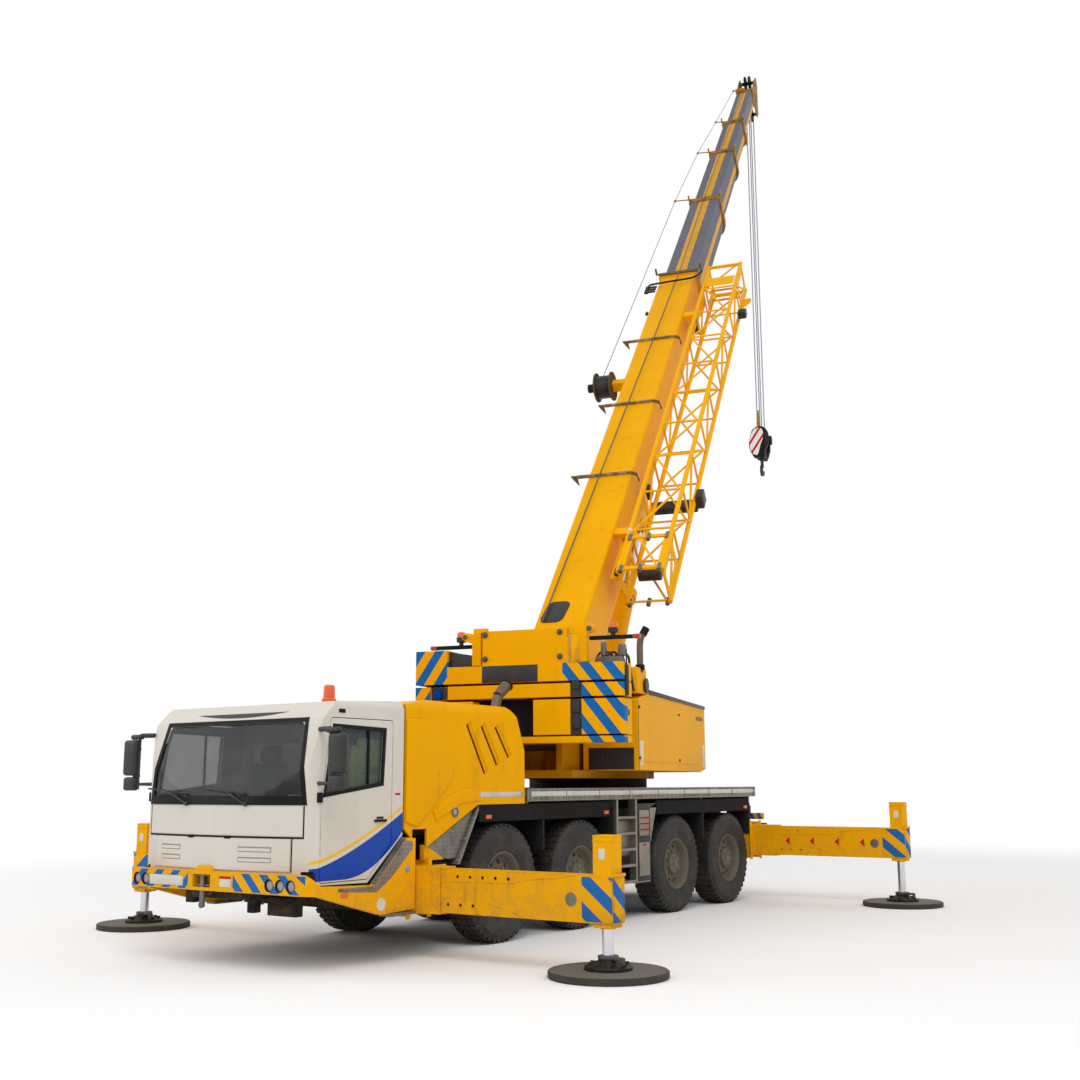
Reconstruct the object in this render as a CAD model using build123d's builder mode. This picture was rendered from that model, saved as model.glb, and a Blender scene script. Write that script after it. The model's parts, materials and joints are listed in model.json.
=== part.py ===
"""Four-axle all-terrain mobile crane, set up on its outriggers with the boom raised.

Frame: millimetres, +Z up, ground at z = 0, the carrier's front faces -Y and its left side is +X.
The origin is on the ground in the middle of the space that the crane takes up.
"""
from build123d import *
from math import cos, radians, sin
import os

os.makedirs("parts", exist_ok=True)

# ------------------------------------------------------------------ driving dimensions, in mm
SLEW_ANGLE = 14.6            # the boom's heading, from straight over the rear
LUFF_ANGLE = 47.2            # the boom's angle above level

# carrier, lengths measured rearward from the bumper's face
HALF_WIDTH = 1250
SLEW_STATION = 6981
AXLE_STATIONS = {"1": 3237, "2": 4887, "3": 7382, "4": 9032}
DECK_START = 3660
DECK_END = 9940
DECK_TOP = 1700
DECK_THICK = 60
RAIL_HEIGHT = 150
RAIL_THICK = 30
FRAME_HALF = 420
FRAME_BOTTOM = 760
FRAME_TOP = 1460
ENGINE_BED = 1200
FRAME_START = 130
FRAME_END = 10420
RING_RADIUS = 860

# wheels
TYRE_RADIUS = 670
TYRE_WIDTH = 385
RIM_RADIUS = 345
WHEEL_OUTER = 1247           # outer sidewall from the centre plane
KINGPIN_OFFSET = 775
SPINDLE_RADIUS = 50
RUNNING_GAP = 0.3

# cab
CAB_LENGTH = 1440
CAB_WALL = 55
CAB_FLOOR = 965
CAB_ROOF = 2660
CAB_SILL = 820               # lower edge of the cab's sides, below its floor
CAB_APRON = 950              # lower edge of its front
CAB_BOW = 110                # how far its front curves back towards the corners
CAB_CORNER = 75
CAB_ROUND = 110              # roof's rounding along its sides
DOOR_GAP = 8
DOOR_START = 240
DOOR_END = 1270
DOOR_TOP = 2450
DOOR_THICK = 45
HOOD_GAP = 30
HOOD_BOTTOM = 1560
HOOD_TOE = 1090              # lowest point of the hood's slanted front
SKIRT_THICK = 25
HOOD_TOP = 2700
HOOD_WALL = 30
HOOD_ROUND = 130
TROUGH_HALF = 340            # hollow across the hood's middle, where the boom's cylinder comes to lie
TROUGH_FLOOR = 2040
TROUGH_START = 2350
TROUGH_FALL = 160            # its floor slopes down towards the deck

# outriggers
BEAM_WIDTH = 220
BEAM_HEIGHT = 440
FRONT_BEAM_Z = 710           # middle of a front beam
REAR_BEAM_Z = 905            # middle of a rear beam, above the lower frame tail
SLEEVE_WALL = 15
BEAM_GAP = 6                 # beside a beam
BEAM_PLAY = 0.3              # above and below a beam, at its wear pads
SLEEVE_END = 1640            # the first stage's outer end from the centre plane
BEAM_END = 3710              # the second stage's outer end
HOUSING_END = 1030           # the fixed housing's open end from the centre plane
BEAM_LENGTH = 2480
BAY_GAP = 2                  # between the housings of a pair of beams
FRONT_BAY = 1717             # station of the front left beam
REAR_BAY = 9960              # station of the rear left beam
JACK_INSET = 125
JACK_TUBE = 200
JACK_RISE = 590              # a jack's tube above its beam's middle
JACK_DROP = 260              # and below it
ROD_RADIUS = 55
FLOAT_RADIUS = 230
FLOAT_HEIGHT = 130
ROD_RISE = 110               # the top of a jack's rod above its beam's middle
MAT_RADIUS = 575
MAT_THICK = 70

# superstructure, lengths along the boom's heading from the slewing axis
TABLE_BOTTOM = 1860
TABLE_PLATE = 100
CHEEK_GAP = 400              # boom's centre to a cheek's inner face
CHEEK_THICK = 80
PIVOT_REACH = -1180
PIVOT_HEIGHT = 3250
PIVOT_RADIUS = 90
TAIL_REACH = -2896
TILT_REACH = 5               # the tube that the operator's cab tilts back on
TILT_HEIGHT = TABLE_BOTTOM + TABLE_PLATE
TILT_RADIUS = 40
TILT_INNER = -590
TILT_OUTER = -1360
WEIGHT_DEPTH = 380
WEIGHT_HALF = 1410

# boom, lengths along it from the foot pin, heights from the line through the pin
BOOM_TOP = 550
BASE_TAIL = -480
BASE_END = 11860
COLLAR_LENGTH = 170
COLLAR_STEP = 220
COLLAR_WALL = 38
SECTION_STROKE = 8800
# section: outer width, outer height, plate, distance of its outer end from the foot pin
SECTIONS = [
    (740, 1000, 12, BASE_END),
    (660, 890, 10, 15960),
    (580, 780, 10, 19160),
    (500, 670, 8, 21500),
    (420, 560, 8, 24250),
]
TOP_STEP = 45                # each section's top below the one around it
TAIL_STEP = 250
PAD_GAP = 0.3
SEAM = 0.3                   # between the plates that a section is made of
SEAM_DEPTH = 60              # upper seams below a section's top face
LUG_REACH = 5000
LUG_DROP = -1030
CYLINDER_REACH = 100
CYLINDER_HEIGHT = 2200
BARREL_RADIUS = 185
ROD_EYE_RADIUS = 130
PISTON_ROD_RADIUS = 120
LUG_PIN_RADIUS = 60

# hoist
FALLS_REACH = 24450
FALLS_DROP = -440
HOOK_TOP = 11350
ROPE_RADIUS = 11
ROPE_SPREAD = 60             # a sheave's distance from the boom's centre plane

# ------------------------------------------------------------------ frames of reference
SLEW_COS = cos(radians(SLEW_ANGLE))
SLEW_SIN = sin(radians(SLEW_ANGLE))
LUFF_COS = cos(radians(LUFF_ANGLE))
LUFF_SIN = sin(radians(LUFF_ANGLE))
HEAD_TIP = SECTIONS[-1][3] + 950
BOOM_REACH = PIVOT_REACH + HEAD_TIP * LUFF_COS
FRONT_Y = -(SLEW_STATION + BOOM_REACH * SLEW_COS) / 2
SLEW_Y = FRONT_Y + SLEW_STATION
AHEAD = Vector(-SLEW_SIN, SLEW_COS, 0)          # along the boom's heading
ACROSS = Vector(SLEW_COS, SLEW_SIN, 0)          # to the boom's right side
UP = Vector(0, 0, 1)
ALONG = AHEAD * LUFF_COS + UP * LUFF_SIN        # along the raised boom
OVER = UP * LUFF_COS - AHEAD * LUFF_SIN         # square to the boom, out of its top


def station(distance):
    """Y of a place on the carrier, from its distance behind the bumper's face."""
    return FRONT_Y + distance


def house(reach, side, height):
    """A point of the superstructure."""
    return Vector(0, SLEW_Y, 0) + AHEAD * reach + ACROSS * side + UP * height


def house_side(side):
    """Side-elevation plane: local x along the boom's heading, local y up, normal to its right."""
    return Plane(origin=house(0, side, 0), x_dir=AHEAD, z_dir=ACROSS)


def house_plan(height):
    """Plan plane: local x across to the right, local y along the boom's heading."""
    return Plane(origin=house(0, 0, height), x_dir=ACROSS, z_dir=UP)


PIVOT = house(PIVOT_REACH, 0, PIVOT_HEIGHT)


def boom(along, side, over):
    """A point of the raised boom."""
    return PIVOT + ALONG * along + ACROSS * side + OVER * over


def boom_side(side):
    """Side-elevation plane of the boom: local x along it, local y out of its top."""
    return Plane(origin=boom(0, side, 0), x_dir=ALONG, z_dir=ACROSS)


def boom_section(along):
    """Cross-section plane of the boom: local y out of its top, normal towards its head."""
    return Plane(origin=boom(along, 0, 0), x_dir=-ACROSS, z_dir=ALONG)


def side_elevation(offset):
    """Side-elevation plane of the carrier: local x rearward, local y up, normal to its right."""
    return Plane(origin=(offset, 0, 0), x_dir=(0, 1, 0), z_dir=(1, 0, 0))


def front_view(distance):
    """Front-elevation plane of the carrier: local x to its left, local y up, normal forwards."""
    return Plane(origin=(0, station(distance), 0), x_dir=(1, 0, 0), z_dir=(0, -1, 0))


def strut(start, end, radius):
    """A round bar from one point to another."""
    reach = end - start
    return Plane(origin=start, z_dir=reach) * Cylinder(
        radius, reach.length, align=(Align.CENTER, Align.CENTER, Align.MIN), mode=Mode.PRIVATE
    )


def finish(part, label):
    """Names a piece and writes it."""
    part.label = label
    export_step(part, f"parts/{label}.step")


# ------------------------------------------------------------------ carrier frame and deck
SLEEVE_WIDTH = BEAM_WIDTH + 2 * (SLEEVE_WALL + BEAM_GAP)
HOUSING_WALL = 12
HOUSING_SEAM = 0.3           # around the housings, where they pass through the frame
HOUSING_WIDTH = SLEEVE_WIDTH + 2 * (BEAM_GAP + HOUSING_WALL)
BAY_PITCH = HOUSING_WIDTH + BAY_GAP
BAYS = {                       # side, station and height of each beam
    "front_left": (1, FRONT_BAY, FRONT_BEAM_Z),
    "front_right": (-1, FRONT_BAY + BAY_PITCH, FRONT_BEAM_Z),
    "rear_left": (1, REAR_BAY, REAR_BEAM_Z),
    "rear_right": (-1, REAR_BAY + BAY_PITCH, REAR_BEAM_Z),
}
SLEEVE_HEIGHT = BEAM_HEIGHT + 2 * (SLEEVE_WALL + BEAM_PLAY)
SLEEVE_LENGTH = HOUSING_END + HALF_WIDTH - 10
HOUSING_LENGTH = HOUSING_END + HALF_WIDTH
HOUSING_HEIGHT = SLEEVE_HEIGHT + 2 * (BEAM_PLAY + HOUSING_WALL)

with BuildPart() as chassis_frame:
    with BuildSketch(side_elevation(0)):
        with BuildLine():
            Polyline(
                (station(FRAME_START), CAB_FLOOR - 300),
                (station(FRAME_START), CAB_FLOOR),
                (station(CAB_LENGTH), CAB_FLOOR),
                (station(CAB_LENGTH + 120), ENGINE_BED),
                (station(DECK_START - 200), ENGINE_BED),
                (station(DECK_START + 100), FRAME_TOP),
                (station(FRAME_END), FRAME_TOP),
                (station(FRAME_END), FRAME_BOTTOM + 250),
                (station(FRAME_END - 500), FRAME_BOTTOM),
                (station(AXLE_STATIONS["1"] - 600), FRAME_BOTTOM),
                (station(CAB_LENGTH), CAB_FLOOR - 300),
                close=True,
            )
        make_face()
    extrude(amount=FRAME_HALF, both=True)
    with Locations((0, SLEW_Y, FRAME_TOP)):
        Cylinder(RING_RADIUS, TABLE_BOTTOM - FRAME_TOP - RUNNING_GAP, align=(Align.CENTER, Align.CENTER, Align.MIN))
    for bay, beam_z in ((FRONT_BAY, FRONT_BEAM_Z), (REAR_BAY, REAR_BEAM_Z)):
        with Locations((0, station(bay + BAY_PITCH / 2), beam_z)):
            Box(
                2 * FRAME_HALF + 10,
                BAY_PITCH + HOUSING_WIDTH + 2 * HOUSING_SEAM,
                HOUSING_HEIGHT + 2 * HOUSING_SEAM,
                mode=Mode.SUBTRACT,
            )
    for side, bay, beam_z in BAYS.values():
        with BuildPart(mode=Mode.PRIVATE) as housing:
            with Locations((side * (HOUSING_END - HALF_WIDTH) / 2, station(bay), beam_z)):
                Box(HOUSING_LENGTH, HOUSING_WIDTH, HOUSING_HEIGHT)
                Box(
                    HOUSING_LENGTH,
                    SLEEVE_WIDTH + 2 * BEAM_GAP,
                    SLEEVE_HEIGHT + 2 * BEAM_PLAY,
                    mode=Mode.SUBTRACT,
                )
        add(housing.part)
finish(chassis_frame.part, "chassis_frame")

with BuildPart() as deck:
    with BuildSketch(Plane.XY.offset(DECK_TOP - DECK_THICK)):
        with Locations((0, station((DECK_START + DECK_END) / 2))):
            Rectangle(2 * HALF_WIDTH, DECK_END - DECK_START)
        with Locations((0, SLEW_Y)):
            Circle(RING_RADIUS + 160, mode=Mode.SUBTRACT)
    extrude(amount=DECK_THICK)
    for side in (-1, 1):
        with Locations((side * (HALF_WIDTH + RAIL_THICK / 2), station((DECK_START + DECK_END) / 2),
                        DECK_TOP - RAIL_HEIGHT + 30)):
            Box(RAIL_THICK, DECK_END - DECK_START, RAIL_HEIGHT, align=(Align.CENTER, Align.CENTER, Align.MIN))
    for place in (DECK_START + 60, SLEW_STATION - 1200, SLEW_STATION + 1200, DECK_END - 140):
        with Locations((0, station(place), FRAME_TOP)):
            Box(2 * (HALF_WIDTH - SKIRT_THICK), 60, DECK_TOP - DECK_THICK - FRAME_TOP,
                align=(Align.CENTER, Align.CENTER, Align.MIN))
finish(deck.part, "deck")

LADDER_START = 5700
LADDER_END = 6230
LOCKER_END = 6600
LOCKER_OVERHANG = 190        # its upper part leans back over the wheel
LADDER_BOTTOM = 470
SKIRT_BOTTOM = 1365
FENDERS = [(2760, 5560), (LOCKER_END + LOCKER_OVERHANG + 10, 9740)]     # start and end stations of each
with BuildPart() as wheel_fenders:
    for side in (-1, 1):
        for start, end in FENDERS:
            with Locations((side * (HALF_WIDTH - SKIRT_THICK / 2), station((start + end) / 2), SKIRT_BOTTOM)):
                Box(SKIRT_THICK, end - start, HOOD_BOTTOM - SKIRT_BOTTOM,
                    align=(Align.CENTER, Align.CENTER, Align.MIN))
            with Locations((side * (HALF_WIDTH + FRAME_HALF) / 2, station((start + end) / 2), FRAME_TOP)):
                Box(HALF_WIDTH - FRAME_HALF, end - start, 20, align=(Align.CENTER, Align.CENTER, Align.MAX))
finish(wheel_fenders.part, "wheel_fenders")

RUNG_COUNT = 5
with BuildPart() as deck_ladders:
    top = DECK_TOP - RAIL_HEIGHT + 30
    for side in (-1, 1):
        for place in (LADDER_START + 20, LADDER_END - 20):
            with Locations((side * 1210, station(place), LADDER_BOTTOM)):
                Box(120, 40, top - LADDER_BOTTOM, align=(Align.CENTER, Align.CENTER, Align.MIN))
        for rung in range(RUNG_COUNT):
            height = LADDER_BOTTOM + 30 + rung * (top - LADDER_BOTTOM - 60) / RUNG_COUNT
            with Locations((side * 1210, station((LADDER_START + LADDER_END) / 2), height)):
                Box(120, LADDER_END - LADDER_START, 35)
        with BuildSketch(side_elevation(side * FRAME_HALF)):
            with BuildLine():
                Polyline(
                    (station(LADDER_END), LADDER_BOTTOM), (station(LOCKER_END), LADDER_BOTTOM),
                    (station(LOCKER_END), 950), (station(LOCKER_END + LOCKER_OVERHANG), FRAME_TOP),
                    (station(LADDER_END), FRAME_TOP), close=True,
                )
            make_face()
        extrude(amount=side * (HALF_WIDTH - FRAME_HALF))
finish(deck_ladders.part, "deck_ladders")

# ------------------------------------------------------------------ cab and hood
BUMPER_PROUD = 80            # beyond the cab's sides
BUMPER_HALF = HALF_WIDTH + BUMPER_PROUD
BUMPER_WALL = 150            # its front beam, from its face to the frame
BUMPER_START = FRAME_START - BUMPER_WALL
BUMPER_END = 1560
BUMPER_GAP = 3               # beside the cab
BUMPER_PROFILE = [
    (BUMPER_START, 750), (BUMPER_START, CAB_APRON - 5), (30, CAB_APRON - 5), (190, CAB_SILL + 8),
    (950, CAB_SILL - 25), (1430, 1245), (BUMPER_END, 1235), (BUMPER_END, 520), (1040, 500), (150, 740),
]
with BuildPart() as front_bumper:
    with BuildSketch(side_elevation(0)):
        with BuildLine():
            Polyline(*[(station(place), height) for place, height in BUMPER_PROFILE], close=True)
        make_face()
    extrude(amount=BUMPER_HALF, both=True)
    with BuildSketch(Plane.XY.offset(BUMPER_PROFILE[-2][1])):
        with Locations((0, station(BUMPER_START + BUMPER_END))):
            RectangleRounded(2 * BUMPER_HALF, 2 * BUMPER_END, 170)
        with Locations((0, station(FRAME_START + BUMPER_END))):
            Rectangle(2 * (HALF_WIDTH + BUMPER_GAP), 2 * BUMPER_END, mode=Mode.SUBTRACT)
    extrude(amount=HOOD_BOTTOM - BUMPER_PROFILE[-2][1], mode=Mode.INTERSECT)
finish(front_bumper.part, "front_bumper")

CAB_PROFILE = [
    (30, CAB_APRON), (45, 1600), (240, 2430), (420, 2610), (CAB_LENGTH, CAB_ROOF), (CAB_LENGTH, 1270),
    (920, CAB_SILL), (200, CAB_SILL + 15),
]
DOOR_PROFILE = [
    (DOOR_START, CAB_SILL + 30), (DOOR_START, 1640), (350, DOOR_TOP), (DOOR_END, DOOR_TOP), (DOOR_END, 1200),
    (920, CAB_SILL + 30),
]
DOOR_WINDOW = [(290, 1690), (395, 2360), (1140, 2340), (1110, 1800)]


def corners(profile):
    """Local points in a side elevation, from stations and heights."""
    return [(station(place), height) for place, height in profile]


def cab_form(inset, bottom):
    """The cab's form, moved inwards by a wall and cut off below a level."""
    with BuildPart() as form:
        with BuildSketch(side_elevation(0)):
            with BuildLine():
                Polyline(*corners(CAB_PROFILE), close=True)
            make_face()
            if inset:
                offset(amount=-inset, kind=Kind.INTERSECTION)
        extrude(amount=HALF_WIDTH, both=True)
        with BuildSketch(Plane.XY.offset(bottom)):
            with BuildLine():
                ThreePointArc((CAB_CORNER - HALF_WIDTH, station(30 + CAB_BOW)), (0, station(30)),
                              (HALF_WIDTH - CAB_CORNER, station(30 + CAB_BOW)))
                Line((HALF_WIDTH - CAB_CORNER, station(30 + CAB_BOW)), (HALF_WIDTH, station(30 + CAB_BOW + CAB_CORNER)))
                Line((HALF_WIDTH, station(30 + CAB_BOW + CAB_CORNER)), (HALF_WIDTH, station(CAB_LENGTH)))
                Line((HALF_WIDTH, station(CAB_LENGTH)), (-HALF_WIDTH, station(CAB_LENGTH)))
                Line((-HALF_WIDTH, station(CAB_LENGTH)), (-HALF_WIDTH, station(30 + CAB_BOW + CAB_CORNER)))
                Line((-HALF_WIDTH, station(30 + CAB_BOW + CAB_CORNER)), (CAB_CORNER - HALF_WIDTH, station(30 + CAB_BOW)))
            make_face()
            if inset:
                offset(amount=-inset, kind=Kind.INTERSECTION)
        extrude(amount=CAB_ROOF - bottom, mode=Mode.INTERSECT)
        with BuildSketch(front_view(0)):
            with Locations((0, CAB_ROOF / 2)):
                RectangleRounded(2 * (HALF_WIDTH - inset), CAB_ROOF - 2 * inset, CAB_ROUND - inset / 2)
        extrude(amount=-CAB_LENGTH, mode=Mode.INTERSECT)
    return form.part


with BuildPart() as carrier_cab:
    add(cab_form(0, CAB_SILL - 10))
    add(cab_form(CAB_WALL, CAB_FLOOR + CAB_WALL), mode=Mode.SUBTRACT)
    with BuildSketch(Plane.XY.offset(CAB_SILL - 10)):
        with Locations((0, station(FRAME_START - 1 + CAB_LENGTH / 2))):
            Rectangle(2 * (HALF_WIDTH - SKIRT_THICK), CAB_LENGTH)
    extrude(amount=CAB_FLOOR - CAB_SILL + 10, mode=Mode.SUBTRACT)
    with BuildSketch(front_view(-10)):
        with BuildLine():
            Polyline((-1120, 1630), (1120, 1630), (1010, 2400), (-1010, 2400), close=True)
        make_face()
        fillet(vertices(), 60)
    extrude(amount=-420, mode=Mode.SUBTRACT)
    for side in (-1, 1):
        with BuildSketch(side_elevation(side * (HALF_WIDTH + 10))):
            with BuildLine():
                Polyline(*corners(DOOR_PROFILE), close=True)
            make_face()
            fillet(vertices(), 30)
        extrude(amount=-side * (CAB_WALL + 11), mode=Mode.SUBTRACT)
finish(carrier_cab.part, "carrier_cab")

for side, name in ((1, "left"), (-1, "right")):
    with BuildPart() as cab_door:
        with BuildSketch(side_elevation(side * (HALF_WIDTH - DOOR_THICK))):
            with BuildLine():
                Polyline(*corners(DOOR_PROFILE), close=True)
            make_face()
            offset(amount=-DOOR_GAP, kind=Kind.INTERSECTION)
            fillet(vertices(), 25)
            with BuildLine():
                Polyline(*corners(DOOR_WINDOW), close=True)
            make_face(mode=Mode.SUBTRACT)
        extrude(amount=side * DOOR_THICK)
        for height in (CAB_SILL + 230, 1560):
            with Locations((side * HALF_WIDTH, station(DOOR_START + DOOR_GAP), height)):
                Cylinder(DOOR_GAP - RUNNING_GAP, 120)
    finish(cab_door.part, f"cab_door_{name}")

FLOOR_LEVEL = CAB_FLOOR + CAB_WALL
with BuildPart() as cab_interior:
    for side in (-1, 1):
        with BuildSketch(side_elevation(side * 600)):
            with BuildLine():
                Polyline(
                    (station(760), FLOOR_LEVEL + 240), (station(740), FLOOR_LEVEL + 480),
                    (station(1150), FLOOR_LEVEL + 440 - SEAM), (station(1279), FLOOR_LEVEL + 440 - SEAM),
                    (station(1260), FLOOR_LEVEL + 240), close=True,
                )
            make_face()
            with BuildLine():
                Polyline(
                    (station(1150), FLOOR_LEVEL + 440), (station(1240), FLOOR_LEVEL + 1150),
                    (station(1350), FLOOR_LEVEL + 1150), (station(1279), FLOOR_LEVEL + 440), close=True,
                )
            make_face()
        extrude(amount=250, both=True)
        with Locations((side * 600, station(870), FLOOR_LEVEL + 121)):
            Box(300, 180, 242)
    with BuildSketch(side_elevation(0)):
        with BuildLine():
            Polyline(
                (station(180), FLOOR_LEVEL), (station(180), 1560), (station(380), 1600),
                (station(460), 1500), (station(330), 1380), (station(300), FLOOR_LEVEL), close=True,
            )
        make_face()
    extrude(amount=900, both=True)
finish(cab_interior.part, "cab_interior")

MIRROR_STATION = 150         # ahead of the doors, which swing past behind it
MIRROR_REACH = 290           # from the cab's side to the middle of a mirror
with BuildPart() as cab_mirrors:
    for side in (-1, 1):
        with Locations((side * (HALF_WIDTH + MIRROR_REACH), station(MIRROR_STATION), 2020)):
            Box(230, 90, 520)
        for height in (1790, 2080):
            with BuildSketch(Plane.XY.offset(height)):
                with BuildLine():
                    Polyline(
                        (side * (HALF_WIDTH + RUNNING_GAP), station(DOOR_START - 25)),
                        (side * (HALF_WIDTH + RUNNING_GAP), station(DOOR_START - 3)),
                        (side * (HALF_WIDTH + MIRROR_REACH - 80), station(MIRROR_STATION + 45)),
                        (side * (HALF_WIDTH + MIRROR_REACH - 80), station(MIRROR_STATION + 10)), close=True,
                    )
                make_face()
            extrude(amount=40)
finish(cab_mirrors.part, "cab_mirrors")

HOOD_PROFILE = [
    (CAB_LENGTH + HOOD_GAP, HOOD_BOTTOM),
    (CAB_LENGTH + HOOD_GAP, HOOD_TOP - 70),
    (CAB_LENGTH + 500, HOOD_TOP),
    (3330, HOOD_TOP - 10),
    (3480, HOOD_TOP - 140),
    (3630, 2180),
    (3640, HOOD_BOTTOM),
]


HOOD_SIDE_TOE = [              # the sides reach lower at the front, and slant up to the fenders
    (CAB_LENGTH + HOOD_GAP, HOOD_BOTTOM + 10), (CAB_LENGTH + HOOD_GAP, 1330), (1540, 1270), (1760, HOOD_TOE),
    (2730, HOOD_BOTTOM), (2730, HOOD_BOTTOM + 10),
]


def hood_form(inset):
    """The hood's outer form, or with a wall's inset its inside, which is open below."""
    with BuildPart() as form:
        with BuildSketch(side_elevation(0)):
            with BuildLine():
                Polyline(*[
                    (station(place), height - (2 * inset if height == HOOD_BOTTOM else 0))
                    for place, height in HOOD_PROFILE
                ], close=True)
            make_face()
            if inset:
                offset(amount=-inset, kind=Kind.INTERSECTION)
        extrude(amount=HALF_WIDTH - inset, both=True)
        with BuildSketch(front_view(CAB_LENGTH)):
            with Locations((0, HOOD_TOP / 2)):
                RectangleRounded(2 * (HALF_WIDTH - inset), HOOD_TOP - 2 * inset, HOOD_ROUND - inset)
        extrude(amount=-(DECK_START - CAB_LENGTH), mode=Mode.INTERSECT)
        with BuildSketch(side_elevation(0)):
            with BuildLine():
                Polyline(
                    (station(TROUGH_START - inset), HOOD_TOP + 10), (station(TROUGH_START - inset), TROUGH_FLOOR - inset),
                    (station(DECK_START + 10), TROUGH_FLOOR - TROUGH_FALL - inset), (station(DECK_START + 10), HOOD_TOP + 10),
                    close=True,
                )
            make_face()
        extrude(amount=TROUGH_HALF + inset, both=True, mode=Mode.SUBTRACT)
    return form.part


with BuildPart() as engine_hood:
    add(hood_form(0))
    add(hood_form(HOOD_WALL), mode=Mode.SUBTRACT)
    for side in (-1, 1):
        with BuildSketch(side_elevation(side * HALF_WIDTH)):
            with BuildLine():
                Polyline(*corners(HOOD_SIDE_TOE), close=True)
            make_face()
        extrude(amount=-side * HOOD_WALL)
    for side, bay, beam_z in (BAYS["front_left"], BAYS["front_right"]):
        with Locations((side * HALF_WIDTH, station(bay), beam_z + JACK_RISE + 20)):
            Box(4 * HOOD_WALL, JACK_TUBE + 40, 500, align=(Align.CENTER, Align.CENTER, Align.MAX), mode=Mode.SUBTRACT)
finish(engine_hood.part, "engine_hood")

with BuildPart() as engine_block:
    with Locations((0, station(2380), ENGINE_BED)):
        Box(2 * FRAME_HALF, 1500, 640, align=(Align.CENTER, Align.CENTER, Align.MIN))
finish(engine_block.part, "engine_block")

# ------------------------------------------------------------------ axles, knuckles and wheels
AXLE_RADIUS = 90
DRIVE_RADIUS = 210           # an axle's gear housing, up against the frame
FORK_ARM = 40
FORK_REACH = 840
KINGPIN_RADIUS = 55
KINGPIN_HALF = 150
HUB_DEPTH = 250              # from a wheel's outer face to its hub's inner face
with BuildPart() as axles:
    for place in AXLE_STATIONS.values():
        with Locations(Location((0, station(place), TYRE_RADIUS), (0, 90, 0))):
            Cylinder(AXLE_RADIUS, 1320)
        with Locations(Location((0, station(place), FRAME_BOTTOM - DRIVE_RADIUS), (90, 0, 0))):
            Cylinder(DRIVE_RADIUS, 260)
        for side in (-1, 1):
            with Locations((side * 640, station(place), TYRE_RADIUS)):
                Box(80, 130, 2 * (KINGPIN_HALF + RUNNING_GAP + FORK_ARM))
            for level in (-1, 1):
                with Locations((side * (600 + FORK_REACH) / 2, station(place),
                                TYRE_RADIUS + level * (KINGPIN_HALF + RUNNING_GAP + FORK_ARM / 2))):
                    Box(FORK_REACH - 600, 130, FORK_ARM)
finish(axles.part, "axles")

WHEEL_PROFILE = [
    (40, 0), (40, 125), (105, 150), (125, 290), (62, 318), (28, RIM_RADIUS),
]
for axle, place in AXLE_STATIONS.items():
    for side, name in ((1, "left"), (-1, "right")):
        centre = (0, station(place), TYRE_RADIUS)
        with BuildPart() as knuckle:
            with Locations((side * KINGPIN_OFFSET, station(place), TYRE_RADIUS)):
                Cylinder(KINGPIN_RADIUS, 2 * KINGPIN_HALF)
            with BuildSketch(Plane(origin=(side * KINGPIN_OFFSET, station(place), TYRE_RADIUS),
                                   x_dir=(0, 1, 0), z_dir=(side, 0, 0))):
                Circle(SPINDLE_RADIUS)
            extrude(amount=WHEEL_OUTER - 70 - KINGPIN_OFFSET)
            with BuildSketch(Plane(origin=(side * (WHEEL_OUTER - HUB_DEPTH - 25), station(place), TYRE_RADIUS),
                                   x_dir=(0, 1, 0), z_dir=(side, 0, 0))):
                Circle(130)
            extrude(amount=20)
        finish(knuckle.part, f"knuckle_{axle}_{name}")

        with BuildPart() as wheel:
            with BuildSketch(Plane(origin=(side * WHEEL_OUTER, station(place), TYRE_RADIUS),
                                   x_dir=(-side, 0, 0), z_dir=(0, side, 0))):
                with BuildLine():
                    bead = RIM_RADIUS
                    Polyline(*WHEEL_PROFILE)
                    ThreePointArc((28, bead), (0, 500), (38, TYRE_RADIUS - 35))
                    Polyline((38, TYRE_RADIUS - 35), (72, TYRE_RADIUS), (TYRE_WIDTH - 72, TYRE_RADIUS),
                             (TYRE_WIDTH - 38, TYRE_RADIUS - 35))
                    ThreePointArc((TYRE_WIDTH - 38, TYRE_RADIUS - 35), (TYRE_WIDTH, 500), (TYRE_WIDTH - 28, bead))
                    Polyline((TYRE_WIDTH - 28, bead), (TYRE_WIDTH - 28, bead - 24), (170, bead - 24),
                             (150, 290), (140, 130), (HUB_DEPTH, 120), (HUB_DEPTH, SPINDLE_RADIUS + RUNNING_GAP),
                             (65, SPINDLE_RADIUS + RUNNING_GAP), (65, 0), (40, 0))
                make_face()
            revolve(axis=Axis((0, station(place), TYRE_RADIUS), (1, 0, 0)))
            with BuildSketch(Plane(origin=(side * WHEEL_OUTER, station(place), TYRE_RADIUS),
                                   x_dir=(0, 1, 0), z_dir=(-side, 0, 0))):
                with PolarLocations(222, 10):
                    Circle(28)
            extrude(amount=200, mode=Mode.SUBTRACT)
        finish(wheel.part, f"wheel_{axle}_{name}")

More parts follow.
